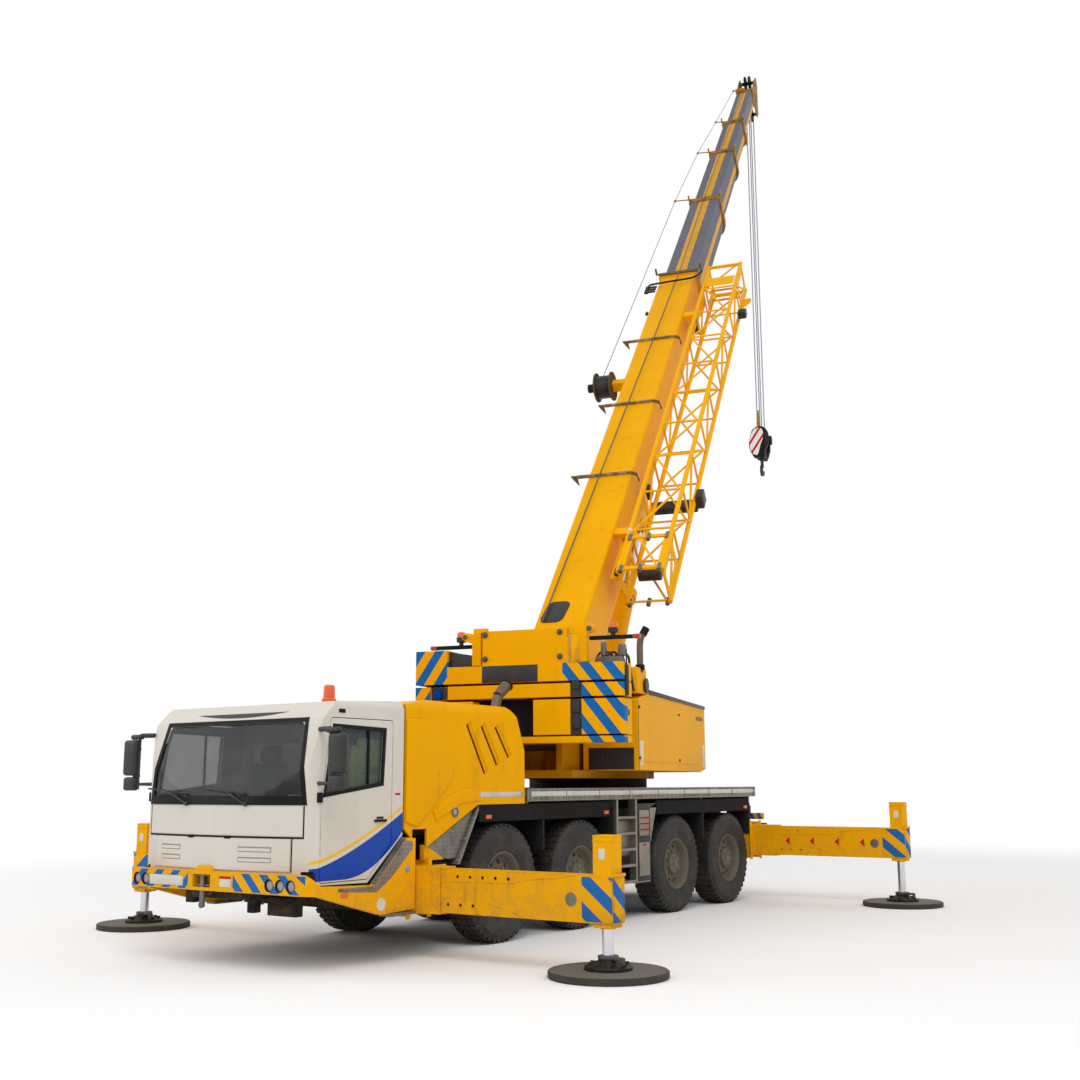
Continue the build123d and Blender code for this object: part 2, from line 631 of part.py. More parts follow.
# ------------------------------------------------------------------ outriggers
for name, (side, bay, beam_z) in BAYS.items():
    bay_y = station(bay)
    jack_x = side * (BEAM_END - JACK_INSET)
    with BuildPart() as sleeve:
        with Locations((side * (SLEEVE_END - SLEEVE_LENGTH / 2), bay_y, beam_z)):
            Box(SLEEVE_LENGTH, SLEEVE_WIDTH, SLEEVE_HEIGHT)
            Box(SLEEVE_LENGTH, BEAM_WIDTH + 2 * BEAM_GAP, BEAM_HEIGHT + 2 * BEAM_PLAY, mode=Mode.SUBTRACT)
    finish(sleeve.part, f"outrigger_sleeve_{name}")

    with BuildPart() as beam:
        with Locations((side * (BEAM_END - BEAM_LENGTH / 2), bay_y, beam_z)):
            Box(BEAM_LENGTH, BEAM_WIDTH, BEAM_HEIGHT)
            Box(BEAM_LENGTH - 500, BEAM_WIDTH - 24, BEAM_HEIGHT - 24, mode=Mode.SUBTRACT)
        with Locations((jack_x, bay_y, beam_z - JACK_DROP)):
            Box(JACK_TUBE, JACK_TUBE, JACK_DROP + JACK_RISE, align=(Align.CENTER, Align.CENTER, Align.MIN))
            Cylinder(ROD_RADIUS + RUNNING_GAP, JACK_DROP + JACK_RISE - 30,
                     align=(Align.CENTER, Align.CENTER, Align.MIN), mode=Mode.SUBTRACT)
    finish(beam.part, f"outrigger_beam_{name}")

    float_bottom = MAT_THICK + RUNNING_GAP
    with BuildPart() as jack:
        with Locations((jack_x, bay_y, float_bottom)):
            Cylinder(FLOAT_RADIUS, 30, align=(Align.CENTER, Align.CENTER, Align.MIN))
        with Locations((jack_x, bay_y, float_bottom + 30)):
            Cone(FLOAT_RADIUS - 30, 90, FLOAT_HEIGHT - 30, align=(Align.CENTER, Align.CENTER, Align.MIN))
        with Locations((jack_x, bay_y, float_bottom + FLOAT_HEIGHT)):
            Cylinder(ROD_RADIUS, beam_z + ROD_RISE - float_bottom - FLOAT_HEIGHT,
                     align=(Align.CENTER, Align.CENTER, Align.MIN))
    finish(jack.part, f"jack_{name}")

with BuildPart() as ground_mats:
    for side, bay, _ in BAYS.values():
        with Locations((side * (BEAM_END - JACK_INSET), station(bay), 0)):
            Cylinder(MAT_RADIUS, MAT_THICK, align=(Align.CENTER, Align.CENTER, Align.MIN))
finish(ground_mats.part, "ground_mats")

# ------------------------------------------------------------------ superstructure
TABLE_FRONT = 1420
CHEEK_PROFILE = [
    (TAIL_REACH + WEIGHT_DEPTH, TABLE_BOTTOM), (TAIL_REACH + WEIGHT_DEPTH, 2650), (PIVOT_REACH - 330, PIVOT_HEIGHT + 200),
    (PIVOT_REACH + 280, PIVOT_HEIGHT + 200), (750, 2350), (1150, 2250), (1150, TABLE_BOTTOM),
]
CROSS_PLATES = [(1000, 2010), (-700, 2300)]      # reach and top of the plates between the cheeks
with BuildPart() as turntable:
    with BuildSketch(house_plan(TABLE_BOTTOM)):
        with Locations((0, (TAIL_REACH + WEIGHT_DEPTH + TABLE_FRONT) / 2)):
            Rectangle(1240, TABLE_FRONT - TAIL_REACH - WEIGHT_DEPTH)
        Circle(RING_RADIUS + 20)
    extrude(amount=TABLE_PLATE)
    for side in (-1, 1):
        with BuildSketch(house_side(side * (CHEEK_GAP + CHEEK_THICK / 2))):
            with BuildLine():
                Polyline(*CHEEK_PROFILE, close=True)
            make_face()
        extrude(amount=CHEEK_THICK / 2, both=True)
        with BuildSketch(house_side(side * 225)):
            with BuildLine():
                Polyline(
                    (CYLINDER_REACH - 330, TABLE_BOTTOM + TABLE_PLATE), (CYLINDER_REACH - 130, CYLINDER_HEIGHT + 130),
                    (CYLINDER_REACH + 130, CYLINDER_HEIGHT + 130), (CYLINDER_REACH + 330, TABLE_BOTTOM + TABLE_PLATE),
                    close=True,
                )
            make_face()
        extrude(amount=25, both=True)
    for reach, height in CROSS_PLATES:
        with BuildSketch(house_side(0)):
            with Locations((reach, (TABLE_BOTTOM + height) / 2)):
                Rectangle(40, height - TABLE_BOTTOM)
        extrude(amount=CHEEK_GAP + CHEEK_THICK / 2, both=True)
    with BuildSketch(house_side(0)):
        with Locations((PIVOT_REACH, PIVOT_HEIGHT)):
            Circle(PIVOT_RADIUS)
    extrude(amount=CHEEK_GAP + CHEEK_THICK + 20, both=True)
    with BuildSketch(house_side(0)):
        with Locations((CYLINDER_REACH, CYLINDER_HEIGHT)):
            Circle(LUG_PIN_RADIUS)
    extrude(amount=260, both=True)
    with BuildSketch(house_side(TILT_INNER)):
        with Locations((TILT_REACH, TILT_HEIGHT)):
            Circle(TILT_RADIUS)
    extrude(amount=TILT_OUTER - TILT_INNER)
finish(turntable.part, "turntable")

SLABS = [                      # bottom, top, left edge, right edge
    (2290, 2370, -WEIGHT_HALF, WEIGHT_HALF),
    (2390, 2830, 230, WEIGHT_HALF),
    (2390, 2830, -WEIGHT_HALF, -600),
    (2860, 3030, -WEIGHT_HALF, WEIGHT_HALF),
    (3060, 3280, -WEIGHT_HALF, WEIGHT_HALF),
    (3280, 3500, -WEIGHT_HALF, -960),
]
with BuildPart() as counterweight:
    for bottom, top, left, right in SLABS:
        with BuildSketch(house_plan(bottom)):
            with Locations(((left + right) / 2, TAIL_REACH + WEIGHT_DEPTH / 2)):
                Rectangle(right - left, WEIGHT_DEPTH)
        extrude(amount=top - bottom)
    with BuildSketch(house_plan(2290)):
        with Locations((0, TAIL_REACH + 290)):
            Rectangle(2 * WEIGHT_HALF - 120, 160)
    extrude(amount=3280 - 2290)
    with BuildSketch(house_plan(3280)):
        with Locations((100, TAIL_REACH + 60)):
            Rectangle(1160, 60)
    extrude(amount=450)
finish(counterweight.part, "counterweight")

HOUSING_OUTER = WEIGHT_HALF - 110
HOUSING_CLEAR = 60           # beside the right cheek
with BuildPart() as engine_housing:
    with BuildSketch(house_side(HOUSING_OUTER)):
        with BuildLine():
            Polyline(
                (-1850, TABLE_BOTTOM + TABLE_PLATE), (-1850, 2880), (-1330, 2980), (-1330, 3040), (2050, 3000), (2050, 2010),
                (1700, TABLE_BOTTOM + TABLE_PLATE), close=True,
            )
        make_face()
    extrude(amount=-(HOUSING_OUTER - CHEEK_GAP - CHEEK_THICK - HOUSING_CLEAR))
finish(engine_housing.part, "engine_housing")

OPERATOR_OUTER = -1390
OPERATOR_INNER = -560
OPERATOR_FLOOR = TABLE_BOTTOM + TABLE_PLATE + RUNNING_GAP
OPERATOR_WALL = 45
OPERATOR_PROFILE = [
    (60, OPERATOR_FLOOR), (60, 3300), (250, 3440), (1350, 3440), (1800, 2900), (1900, 2300), (1750, OPERATOR_FLOOR),
]
with BuildPart() as operator_cab:
    with BuildSketch(house_side(OPERATOR_OUTER)):
        with BuildLine():
            Polyline(*OPERATOR_PROFILE, close=True)
        make_face()
    extrude(amount=OPERATOR_INNER - OPERATOR_OUTER)
    with BuildSketch(house_side(OPERATOR_OUTER + OPERATOR_WALL)):
        with BuildLine():
            Polyline(*OPERATOR_PROFILE, close=True)
        make_face()
        offset(amount=-OPERATOR_WALL, kind=Kind.INTERSECTION)
    extrude(amount=OPERATOR_INNER - OPERATOR_OUTER - 2 * OPERATOR_WALL, mode=Mode.SUBTRACT)
    with BuildSketch(house_side(OPERATOR_OUTER - 10)):
        with Locations((800, 2640)):
            RectangleRounded(900, 1300, 60)
    extrude(amount=200, mode=Mode.SUBTRACT)
    with BuildSketch(house_side(OPERATOR_INNER - 100)):
        with Locations((900, 2850)):
            RectangleRounded(900, 800, 60)
    extrude(amount=200, mode=Mode.SUBTRACT)
    with BuildSketch(house_plan(2300)):
        with Locations(((OPERATOR_OUTER + OPERATOR_INNER) / 2, 1700)):
            Rectangle(OPERATOR_INNER - OPERATOR_OUTER - 160, 600)
    extrude(amount=950, mode=Mode.SUBTRACT)
    for side in (-RING_RADIUS - 40, TILT_OUTER + 110):
        with BuildSketch(house_side(side)):
            with Locations((TILT_REACH, TILT_HEIGHT)):
                Circle(TILT_RADIUS + 25)
            with Locations((TILT_REACH + 35, TILT_HEIGHT + 45)):
                Rectangle(60, 60)
            with Locations((TILT_REACH, TILT_HEIGHT)):
                Circle(TILT_RADIUS + RUNNING_GAP, mode=Mode.SUBTRACT)
        extrude(amount=-60)
finish(operator_cab.part, "operator_cab")

with BuildPart() as operator_door:
    with BuildSketch(house_side(OPERATOR_OUTER - 8)):
        with Locations((800, 2640)):
            RectangleRounded(980, 1380, 60)
            with Locations((0, 200)):
                RectangleRounded(820, 860, 60, mode=Mode.SUBTRACT)
    extrude(amount=-35)
    with BuildSketch(house_side(OPERATOR_OUTER - RUNNING_GAP)):
        with Locations((800, 3312), (800, 1968)):
            Rectangle(980, 20)
    extrude(amount=-10)
finish(operator_door.part, "operator_door")

with BuildPart() as hoist_winch:
    with BuildSketch(house_side(0)):
        with Locations((-2000, 2500)):
            Circle(250)
    extrude(amount=290, both=True)
    for side in (-1, 1):
        with BuildSketch(house_side(side * 300)):
            with Locations((-2000, 2500)):
                Circle(320)
        extrude(amount=15, both=True)
    with BuildSketch(house_side(0)):
        with Locations((-2000, 2500)):
            Circle(60)
    extrude(amount=CHEEK_GAP, both=True)
finish(hoist_winch.part, "hoist_winch")

# ------------------------------------------------------------------ luffing cylinder
LUG = boom(LUG_REACH, 0, LUG_DROP)
CYLINDER_FOOT = house(CYLINDER_REACH, 0, CYLINDER_HEIGHT)
CYLINDER_LINE = LUG - CYLINDER_FOOT
CYLINDER_LENGTH = CYLINDER_LINE.length
CYLINDER_AXIS = CYLINDER_LINE.normalized()
BARREL_LENGTH = 3350
ROD_TAIL = 3480              # from the rod's eye back to its piston end


def cylinder_plane(distance):
    """Cross-section plane of the luffing cylinder, at a distance from its foot pin."""
    return Plane(origin=CYLINDER_FOOT + CYLINDER_AXIS * distance, x_dir=ACROSS, z_dir=CYLINDER_AXIS)


with BuildPart() as luff_barrel:
    with BuildSketch(cylinder_plane(150)):
        Circle(BARREL_RADIUS)
    extrude(amount=BARREL_LENGTH - 150)
    with BuildSketch(cylinder_plane(BARREL_LENGTH - 160)):
        Circle(BARREL_RADIUS + 30)
    extrude(amount=160)
    with BuildSketch(cylinder_plane(0)):
        Rectangle(380, 240)
    extrude(amount=200)
    with BuildSketch(Plane(origin=CYLINDER_FOOT, x_dir=CYLINDER_AXIS, z_dir=ACROSS)):
        Circle(140)
    extrude(amount=190, both=True)
    with BuildSketch(Plane(origin=CYLINDER_FOOT, x_dir=CYLINDER_AXIS, z_dir=ACROSS)):
        Circle(LUG_PIN_RADIUS + RUNNING_GAP)
    extrude(amount=300, both=True, mode=Mode.SUBTRACT)
    with BuildSketch(cylinder_plane(BARREL_LENGTH)):
        Circle(PISTON_ROD_RADIUS + RUNNING_GAP)
    extrude(amount=-(BARREL_LENGTH - 210), mode=Mode.SUBTRACT)
finish(luff_barrel.part, "luff_barrel")

with BuildPart() as luff_rod:
    with BuildSketch(cylinder_plane(CYLINDER_LENGTH - ROD_TAIL)):
        Circle(PISTON_ROD_RADIUS)
    extrude(amount=ROD_TAIL - 100)
    with BuildSketch(Plane(origin=LUG, x_dir=CYLINDER_AXIS, z_dir=ACROSS)):
        Circle(ROD_EYE_RADIUS)
    extrude(amount=110, both=True)
    with BuildSketch(Plane(origin=LUG, x_dir=CYLINDER_AXIS, z_dir=ACROSS)):
        Circle(LUG_PIN_RADIUS + RUNNING_GAP)
    extrude(amount=200, both=True, mode=Mode.SUBTRACT)
finish(luff_rod.part, "luff_rod")


# ------------------------------------------------------------------ boom
BOTTOM_ROUND = 0.34          # share of a section's width
HEAD_LENGTH = 190            # the head's own stub of tube, at the outer end of the last section
TOP_ROUND = 40


def section_outline(plane, width, height, top):
    """A boom section's outline: flat top with small corners, deep rounded bottom."""
    round_height = BOTTOM_ROUND * width
    with BuildSketch(plane) as outline:
        with Locations((0, top - height / 2)):
            RectangleRounded(width, height, round_height)
        with Locations((0, top - (height - round_height) / 2)):
            RectangleRounded(width, height - round_height, TOP_ROUND)
    return outline.sketch


def section_top(index):
    """Height of a section's top face above the line through the foot pin."""
    return BOOM_TOP - TOP_STEP * index


def section_start(index):
    """Distance of a section's inner end from the foot pin, as the boom stands."""
    if index == 0:
        return BASE_TAIL
    retracted_end = BASE_END + COLLAR_STEP * index
    retracted_start = -100 + TAIL_STEP * index
    return SECTIONS[index][3] - (retracted_end - retracted_start)


def section_tube(index):
    """A telescopic section: its tube, and a collar whose pads guide the next one out."""
    width, height, plate, end = SECTIONS[index]
    start = section_start(index)
    top = section_top(index)
    with BuildPart() as tube:
        add(extrude(section_outline(boom_section(start), width, height, top), amount=end - start))
        if index < len(SECTIONS) - 1:
            add(extrude(
                section_outline(boom_section(end - COLLAR_LENGTH), width + 2 * COLLAR_WALL,
                                height + 2 * COLLAR_WALL, top + COLLAR_WALL),
                amount=COLLAR_LENGTH,
            ))
        add(extrude(
            section_outline(boom_section(start), width - 2 * plate, height - 2 * plate, top - plate),
            amount=end - COLLAR_LENGTH - start,
        ), mode=Mode.SUBTRACT)
        if index < len(SECTIONS) - 1:
            next_width, next_height = SECTIONS[index + 1][:2]
            add(extrude(
                section_outline(boom_section(end - COLLAR_LENGTH), next_width + 2 * PAD_GAP,
                                next_height + 2 * PAD_GAP, section_top(index + 1) + PAD_GAP),
                amount=COLLAR_LENGTH,
            ), mode=Mode.SUBTRACT)
        head = end if index < len(SECTIONS) - 1 else end - HEAD_LENGTH
        with BuildSketch(boom_section(start - 10)):
            with Locations((0, top - SEAM_DEPTH), (0, top - height + BOTTOM_ROUND * width)):
                Rectangle(width + 4 * COLLAR_WALL, SEAM)
        extrude(amount=head - start + 20, mode=Mode.SUBTRACT)
        if index == len(SECTIONS) - 1:
            with BuildSketch(boom_section(head)):
                with Locations((0, top - height / 2)):
                    Rectangle(width + 10, height + 10)
            extrude(amount=SEAM, mode=Mode.SUBTRACT)
    return tube.part


BELLY = BOOM_TOP - SECTIONS[0][1]
LUG_EAR_SIDE = 160           # middle of an ear plate from the boom's centre plane
BASE_HALF = SECTIONS[0][0] / 2
GUIDE_BARS = (4250, 6520, 8910)      # bars across the boom's top, for the rope and the cable
GUIDE_BAR = 45
with BuildPart() as boom_base:
    add(section_tube(0))
    for side in (-1, 1):
        with BuildSketch(boom_side(side * LUG_EAR_SIDE)):
            with BuildLine():
                Polyline(
                    (LUG_REACH - 320, BELLY + 6), (LUG_REACH - 150, LUG_DROP - 60), (LUG_REACH - 60, LUG_DROP - 120),
                    (LUG_REACH + 60, LUG_DROP - 120), (LUG_REACH + 150, LUG_DROP - 60), (LUG_REACH + 500, BELLY + 6),
                    close=True,
                )
            make_face()
        extrude(amount=25, both=True)
    with BuildSketch(boom_side(0)):
        with Locations((LUG_REACH, LUG_DROP)):
            Circle(LUG_PIN_RADIUS)
    extrude(amount=LUG_EAR_SIDE + 35, both=True)
    for along in GUIDE_BARS:
        with BuildSketch(boom_section(along - GUIDE_BAR / 2)):
            with Locations(((BASE_HALF + 190 - BASE_HALF) / 2, BOOM_TOP + GUIDE_BAR / 2)):
                Rectangle(2 * BASE_HALF + 190, GUIDE_BAR)
        extrude(amount=GUIDE_BAR)
    with BuildSketch(boom_side(0)):
        Circle(PIVOT_RADIUS + RUNNING_GAP)
    extrude(amount=BASE_HALF + 10, both=True, mode=Mode.SUBTRACT)
finish(boom_base.part, "boom_base")

for index in (1, 2, 3):
    finish(section_tube(index), f"boom_section_{index}")

HEAD_HALF = SECTIONS[-1][0] / 2
SHEAVE_RADIUS = 200
HEAD_PLATE = 20
HEAD_BORE_RADIUS = 35
HEAD_BORES = {                 # for the pins of a folding jib: along the boom, and above the pin line
    "upper": (SECTIONS[-1][3] + 350, section_top(4) - 60),
    "lower": (SECTIONS[-1][3] + 420, -150),
}
with BuildPart() as boom_section_4:
    add(section_tube(4))
    tip = SECTIONS[-1][3]
    for side in (-1, 1):
        with BuildSketch(boom_side(side * (HEAD_HALF + HEAD_PLATE / 2))):
            with BuildLine():
                Polyline(
                    (tip - HEAD_LENGTH + SEAM, section_top(4) - 20), (tip + 700, section_top(4) + 60), (tip + 900, section_top(4)),
                    (tip + 900, section_top(4) - 250), (tip + 500, -250), (tip + 330, FALLS_DROP - 60),
                    (tip + 60, FALLS_DROP - 60), (tip - HEAD_LENGTH + SEAM, -60), close=True,
                )
            make_face()
        extrude(amount=HEAD_PLATE / 2, both=True)
    for along, over, radius in (
        (FALLS_REACH, FALLS_DROP, 50), (tip + 700, section_top(4) - 60, 50), (tip + 600, -60, 60),
    ):
        with BuildSketch(boom_side(0)):
            with Locations((along, over)):
                Circle(radius)
        extrude(amount=HEAD_HALF + 25, both=True)
    with BuildSketch(boom_side(0)):
        for along, over in HEAD_BORES.values():
            with Locations((along, over)):
                Circle(HEAD_BORE_RADIUS)
    extrude(amount=HEAD_HALF + 40, both=True, mode=Mode.SUBTRACT)
    for side in (-ROPE_SPREAD, ROPE_SPREAD):
        for along, over in ((FALLS_REACH, FALLS_DROP), (tip + 700, section_top(4) - 60)):
            with BuildSketch(boom_side(side)):
                with Locations((along, over)):
                    Circle(SHEAVE_RADIUS)
            extrude(amount=22, both=True)
finish(boom_section_4.part, "boom_section_4")

# ------------------------------------------------------------------ swingaway jib
JIB_START = 1700
JIB_END = 12000
JIB_INNER = 620
JIB_OUTER = 1280
JIB_TOP = 500
JIB_BOTTOM = -110
JIB_BAYS = 10
CHORD_RADIUS = 38
LACE_RADIUS = 18
JIB_CLAMP = 160              # length of the pads that hang the jib on the boom
JIB_PLATE = 16
JIB_PLATE_LENGTH = 820
JIB_PLATE_HOLE = 300
JIB_BAY = (JIB_END - JIB_START) / JIB_BAYS
JIB_HEIGHT = JIB_TOP - JIB_BOTTOM


def side_truss(side):
    """One upright side of the jib: two chords with their lacing, and a plate at each end."""
    members = []
    for over in (JIB_TOP, JIB_BOTTOM):
        members.append(strut(boom(JIB_START, side, over), boom(JIB_END, side, over), CHORD_RADIUS))
    for bay in range(JIB_BAYS + 1):
        inset = CHORD_RADIUS if bay == 0 else -CHORD_RADIUS if bay == JIB_BAYS else 0
        along = JIB_START + bay * JIB_BAY + inset
        members.append(strut(boom(along, side, JIB_TOP), boom(along, side, JIB_BOTTOM), LACE_RADIUS))
        if bay < JIB_BAYS:
            near, far = (JIB_TOP, JIB_BOTTOM) if bay % 2 else (JIB_BOTTOM, JIB_TOP)
            members.append(strut(boom(along, side, near), boom(along + JIB_BAY - inset, side, far), LACE_RADIUS))
    with BuildPart() as truss:
        add(members)
        for along in (JIB_START + JIB_PLATE_LENGTH / 2, JIB_END - JIB_PLATE_LENGTH / 2):
            with BuildSketch(boom_side(side)):
                with Locations((along, (JIB_TOP + JIB_BOTTOM) / 2)):
                    Rectangle(JIB_PLATE_LENGTH, JIB_HEIGHT)
                    RectangleRounded(JIB_PLATE_LENGTH - 220, JIB_PLATE_HOLE, 90, mode=Mode.SUBTRACT)
            extrude(amount=JIB_PLATE / 2, both=True)
        if side == JIB_INNER:
            for along in (JIB_START + JIB_BAY, JIB_END - 2 * JIB_BAY):
                with BuildSketch(boom_side(BASE_HALF + PAD_GAP)):
                    with Locations((along, JIB_TOP - 40)):
                        Rectangle(JIB_CLAMP, 90)
                extrude(amount=JIB_INNER - BASE_HALF)
    return truss.part


def cross_lacing(over):
    """The zigzag between the sides, along the jib's top or bottom."""
    post_end = CHORD_RADIUS + PAD_GAP
    brace_end = post_end + LACE_RADIUS
    members = []
    for bay in range(JIB_BAYS + 1):
        inset = CHORD_RADIUS if bay == 0 else -CHORD_RADIUS if bay == JIB_BAYS else 0
        along = JIB_START + bay * JIB_BAY + inset
        members.append(strut(boom(along, JIB_INNER + post_end, over), boom(along, JIB_OUTER - post_end, over), LACE_RADIUS))
        if bay < JIB_BAYS:
            near, far = (JIB_INNER + brace_end, JIB_OUTER - brace_end)[::1 if bay % 2 else -1]
            members.append(strut(boom(along, near, over), boom(along + JIB_BAY - inset, far, over), LACE_RADIUS))
    with BuildPart() as lacing:
        add(members)
    return lacing.part


with BuildPart() as swingaway_jib:
    add(side_truss(JIB_INNER))
    add(side_truss(JIB_OUTER))
    add(cross_lacing(JIB_TOP))
    add(cross_lacing(JIB_BOTTOM))
finish(swingaway_jib.part, "swingaway_jib")

# ------------------------------------------------------------------ cable reel
REEL_REACH = 7480
REEL_RADIUS = 270
with BuildPart() as cable_reel:
    with BuildSketch(boom_side(-BASE_HALF - PAD_GAP)):
        with Locations((REEL_REACH, BOOM_TOP - 120)):
            Rectangle(150, 180)
    extrude(amount=-240)
    for start, length, radius in ((600, 25, REEL_RADIUS), (625, 270, REEL_RADIUS - 80), (895, 25, REEL_RADIUS), (920, 160, 80)):
        with BuildSketch(boom_side(-start)):
            with Locations((REEL_REACH, BOOM_TOP - 120)):
                Circle(radius)
        extrude(amount=-length)
finish(cable_reel.part, "cable_reel")

# ------------------------------------------------------------------ hoist rope, hook block and hook
FALLS_POINT = boom(FALLS_REACH, 0, FALLS_DROP)
FALLS_AHEAD = (FALLS_POINT - Vector(0, SLEW_Y, 0)).dot(AHEAD)
FALLS_HEIGHT = FALLS_POINT.Z
ROPE_REACH = SHEAVE_RADIUS + ROPE_RADIUS + RUNNING_GAP
with BuildPart() as hoist_falls:
    with BuildSketch(house_plan(HOOK_TOP + RUNNING_GAP)):
        for side in (-ROPE_SPREAD, ROPE_SPREAD):
            with Locations((side, FALLS_AHEAD - ROPE_REACH), (side, FALLS_AHEAD + ROPE_REACH)):
                Circle(ROPE_RADIUS)
    extrude(amount=FALLS_HEIGHT - HOOK_TOP)
finish(hoist_falls.part, "hoist_falls")

BLOCK_HEIGHT = 760
with BuildPart() as hook_block:
    with BuildSketch(house_side(0)):
        with BuildLine():
            Polyline(
                (FALLS_AHEAD - 240, HOOK_TOP), (FALLS_AHEAD + 240, HOOK_TOP), (FALLS_AHEAD + 290, HOOK_TOP - 260),
                (FALLS_AHEAD + 250, HOOK_TOP - 480), (FALLS_AHEAD + 110, HOOK_TOP - BLOCK_HEIGHT),
                (FALLS_AHEAD - 110, HOOK_TOP - BLOCK_HEIGHT), (FALLS_AHEAD - 250, HOOK_TOP - 480),
                (FALLS_AHEAD - 290, HOOK_TOP - 260), close=True,
            )
        make_face()
    extrude(amount=130, both=True)
finish(hook_block.part, "hook_block")

HOOK_SHANK = HOOK_TOP - BLOCK_HEIGHT - RUNNING_GAP
with BuildPart() as hook:
    with BuildSketch(house_plan(HOOK_SHANK)):
        with Locations((0, FALLS_AHEAD)):
            Circle(45)
    extrude(amount=-220)
    with BuildSketch(house_side(0)):
        with Locations((FALLS_AHEAD, HOOK_SHANK - 330)):
            Circle(150)
            Circle(80, mode=Mode.SUBTRACT)
        with Locations((FALLS_AHEAD + 120, HOOK_SHANK - 270)):
            Rectangle(240, 110, mode=Mode.SUBTRACT)
    extrude(amount=40, both=True)
finish(hook.part, "hook")
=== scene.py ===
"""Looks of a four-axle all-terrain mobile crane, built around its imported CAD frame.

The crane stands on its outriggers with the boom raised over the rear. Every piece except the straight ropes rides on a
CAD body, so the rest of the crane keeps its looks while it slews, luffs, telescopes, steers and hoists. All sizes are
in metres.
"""

import json
import logging
import math
from contextlib import contextmanager
from dataclasses import dataclass
from enum import Enum
from functools import reduce
from typing import Callable, ClassVar, Iterable, Iterator, Optional, Sequence

import bmesh
import bpy
from mathutils import Matrix, Vector

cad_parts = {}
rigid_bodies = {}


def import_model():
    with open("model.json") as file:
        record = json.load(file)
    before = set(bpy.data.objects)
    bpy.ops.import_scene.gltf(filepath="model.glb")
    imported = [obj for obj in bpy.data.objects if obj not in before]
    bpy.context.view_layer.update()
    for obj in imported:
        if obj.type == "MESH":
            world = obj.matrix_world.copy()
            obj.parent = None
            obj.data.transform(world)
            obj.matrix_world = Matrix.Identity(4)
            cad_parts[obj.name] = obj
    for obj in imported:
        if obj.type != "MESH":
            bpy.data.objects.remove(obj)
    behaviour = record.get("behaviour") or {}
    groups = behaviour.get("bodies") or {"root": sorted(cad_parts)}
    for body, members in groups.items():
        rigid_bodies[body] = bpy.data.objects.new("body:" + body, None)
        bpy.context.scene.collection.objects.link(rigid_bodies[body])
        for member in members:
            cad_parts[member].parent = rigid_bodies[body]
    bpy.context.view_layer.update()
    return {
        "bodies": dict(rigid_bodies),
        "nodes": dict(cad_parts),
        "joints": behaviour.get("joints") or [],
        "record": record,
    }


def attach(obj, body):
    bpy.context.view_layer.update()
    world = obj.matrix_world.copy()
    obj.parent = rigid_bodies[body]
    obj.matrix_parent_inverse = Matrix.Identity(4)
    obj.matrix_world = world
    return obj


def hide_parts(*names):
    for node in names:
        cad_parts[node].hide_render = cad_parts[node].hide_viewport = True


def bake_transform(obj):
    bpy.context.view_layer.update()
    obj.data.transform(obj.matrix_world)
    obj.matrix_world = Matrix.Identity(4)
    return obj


log = logging.getLogger("crane")
FLAT_ANGLE = 0.6
SHARP_ANGLE = 32.0
Colour = tuple[float, float, float]
Point = Sequence[float]


# ---------------------------------------------------------------- frames of reference
@dataclass(frozen=True)
class Stance:
    """How the crane stands, and the frames that its parts are laid out in."""

    slew: float = math.radians(14.6)
    luff: float = math.radians(47.2)
    slew_station: float = 6.981
    pivot_reach: float = -1.18
    pivot_height: float = 3.25
    head_tip: float = 25.2

    @property
    def front(self) -> float:
        """Y of the bumper's face."""
        reach = self.pivot_reach + self.head_tip * math.cos(self.luff)
        return -(self.slew_station + reach * math.cos(self.slew)) / 2

    @property
    def carrier(self) -> Matrix:
        """Local x is the carrier's left, y the distance behind the bumper, z up."""
        return Matrix.Translation((0, self.front, 0))

    @property
    def house(self) -> Matrix:
        """Local x is the boom's right, y its heading from the slewing axis, z up."""
        turn = Matrix.Rotation(self.slew, 4, "Z")
        return Matrix.Translation((0, self.front + self.slew_station, 0)) @ turn

    @property
    def boom(self) -> Matrix:
        """Local x is the boom's right, y runs along it from its foot pin, z is out of its top."""
        pin = Matrix.Translation((0, self.pivot_reach, self.pivot_height))
        return self.house @ pin @ Matrix.Rotation(self.luff, 4, "X")


STANCE = Stance()


# ---------------------------------------------------------------- materials
def srgb(red: int, green: int, blue: int) -> Colour:
    """Turns a colour of 0 to 255 values as seen into a linear one.

    Args:
        red: Red as seen.
        green: Green as seen.
        blue: Blue as seen.

    Returns:
        The linear colour.
    """
    return tuple((c / 255 / 12.92) if c <= 10 else ((c / 255 + 0.055) / 1.055) ** 2.4 for c in (red, green, blue))


SIGNAL_YELLOW = srgb(240, 170, 0)
JIB_YELLOW = srgb(244, 176, 4)
BROWN_YELLOW = srgb(176, 122, 38)
WHITE = srgb(214, 207, 196)
BLUE = srgb(28, 104, 172)
DEEP_BLUE = srgb(0, 66, 168)
RED = srgb(196, 24, 28)
BOOM_GREY = srgb(108, 110, 120)
BLACK = srgb(28, 28, 30)
DUST = srgb(120, 108, 88)


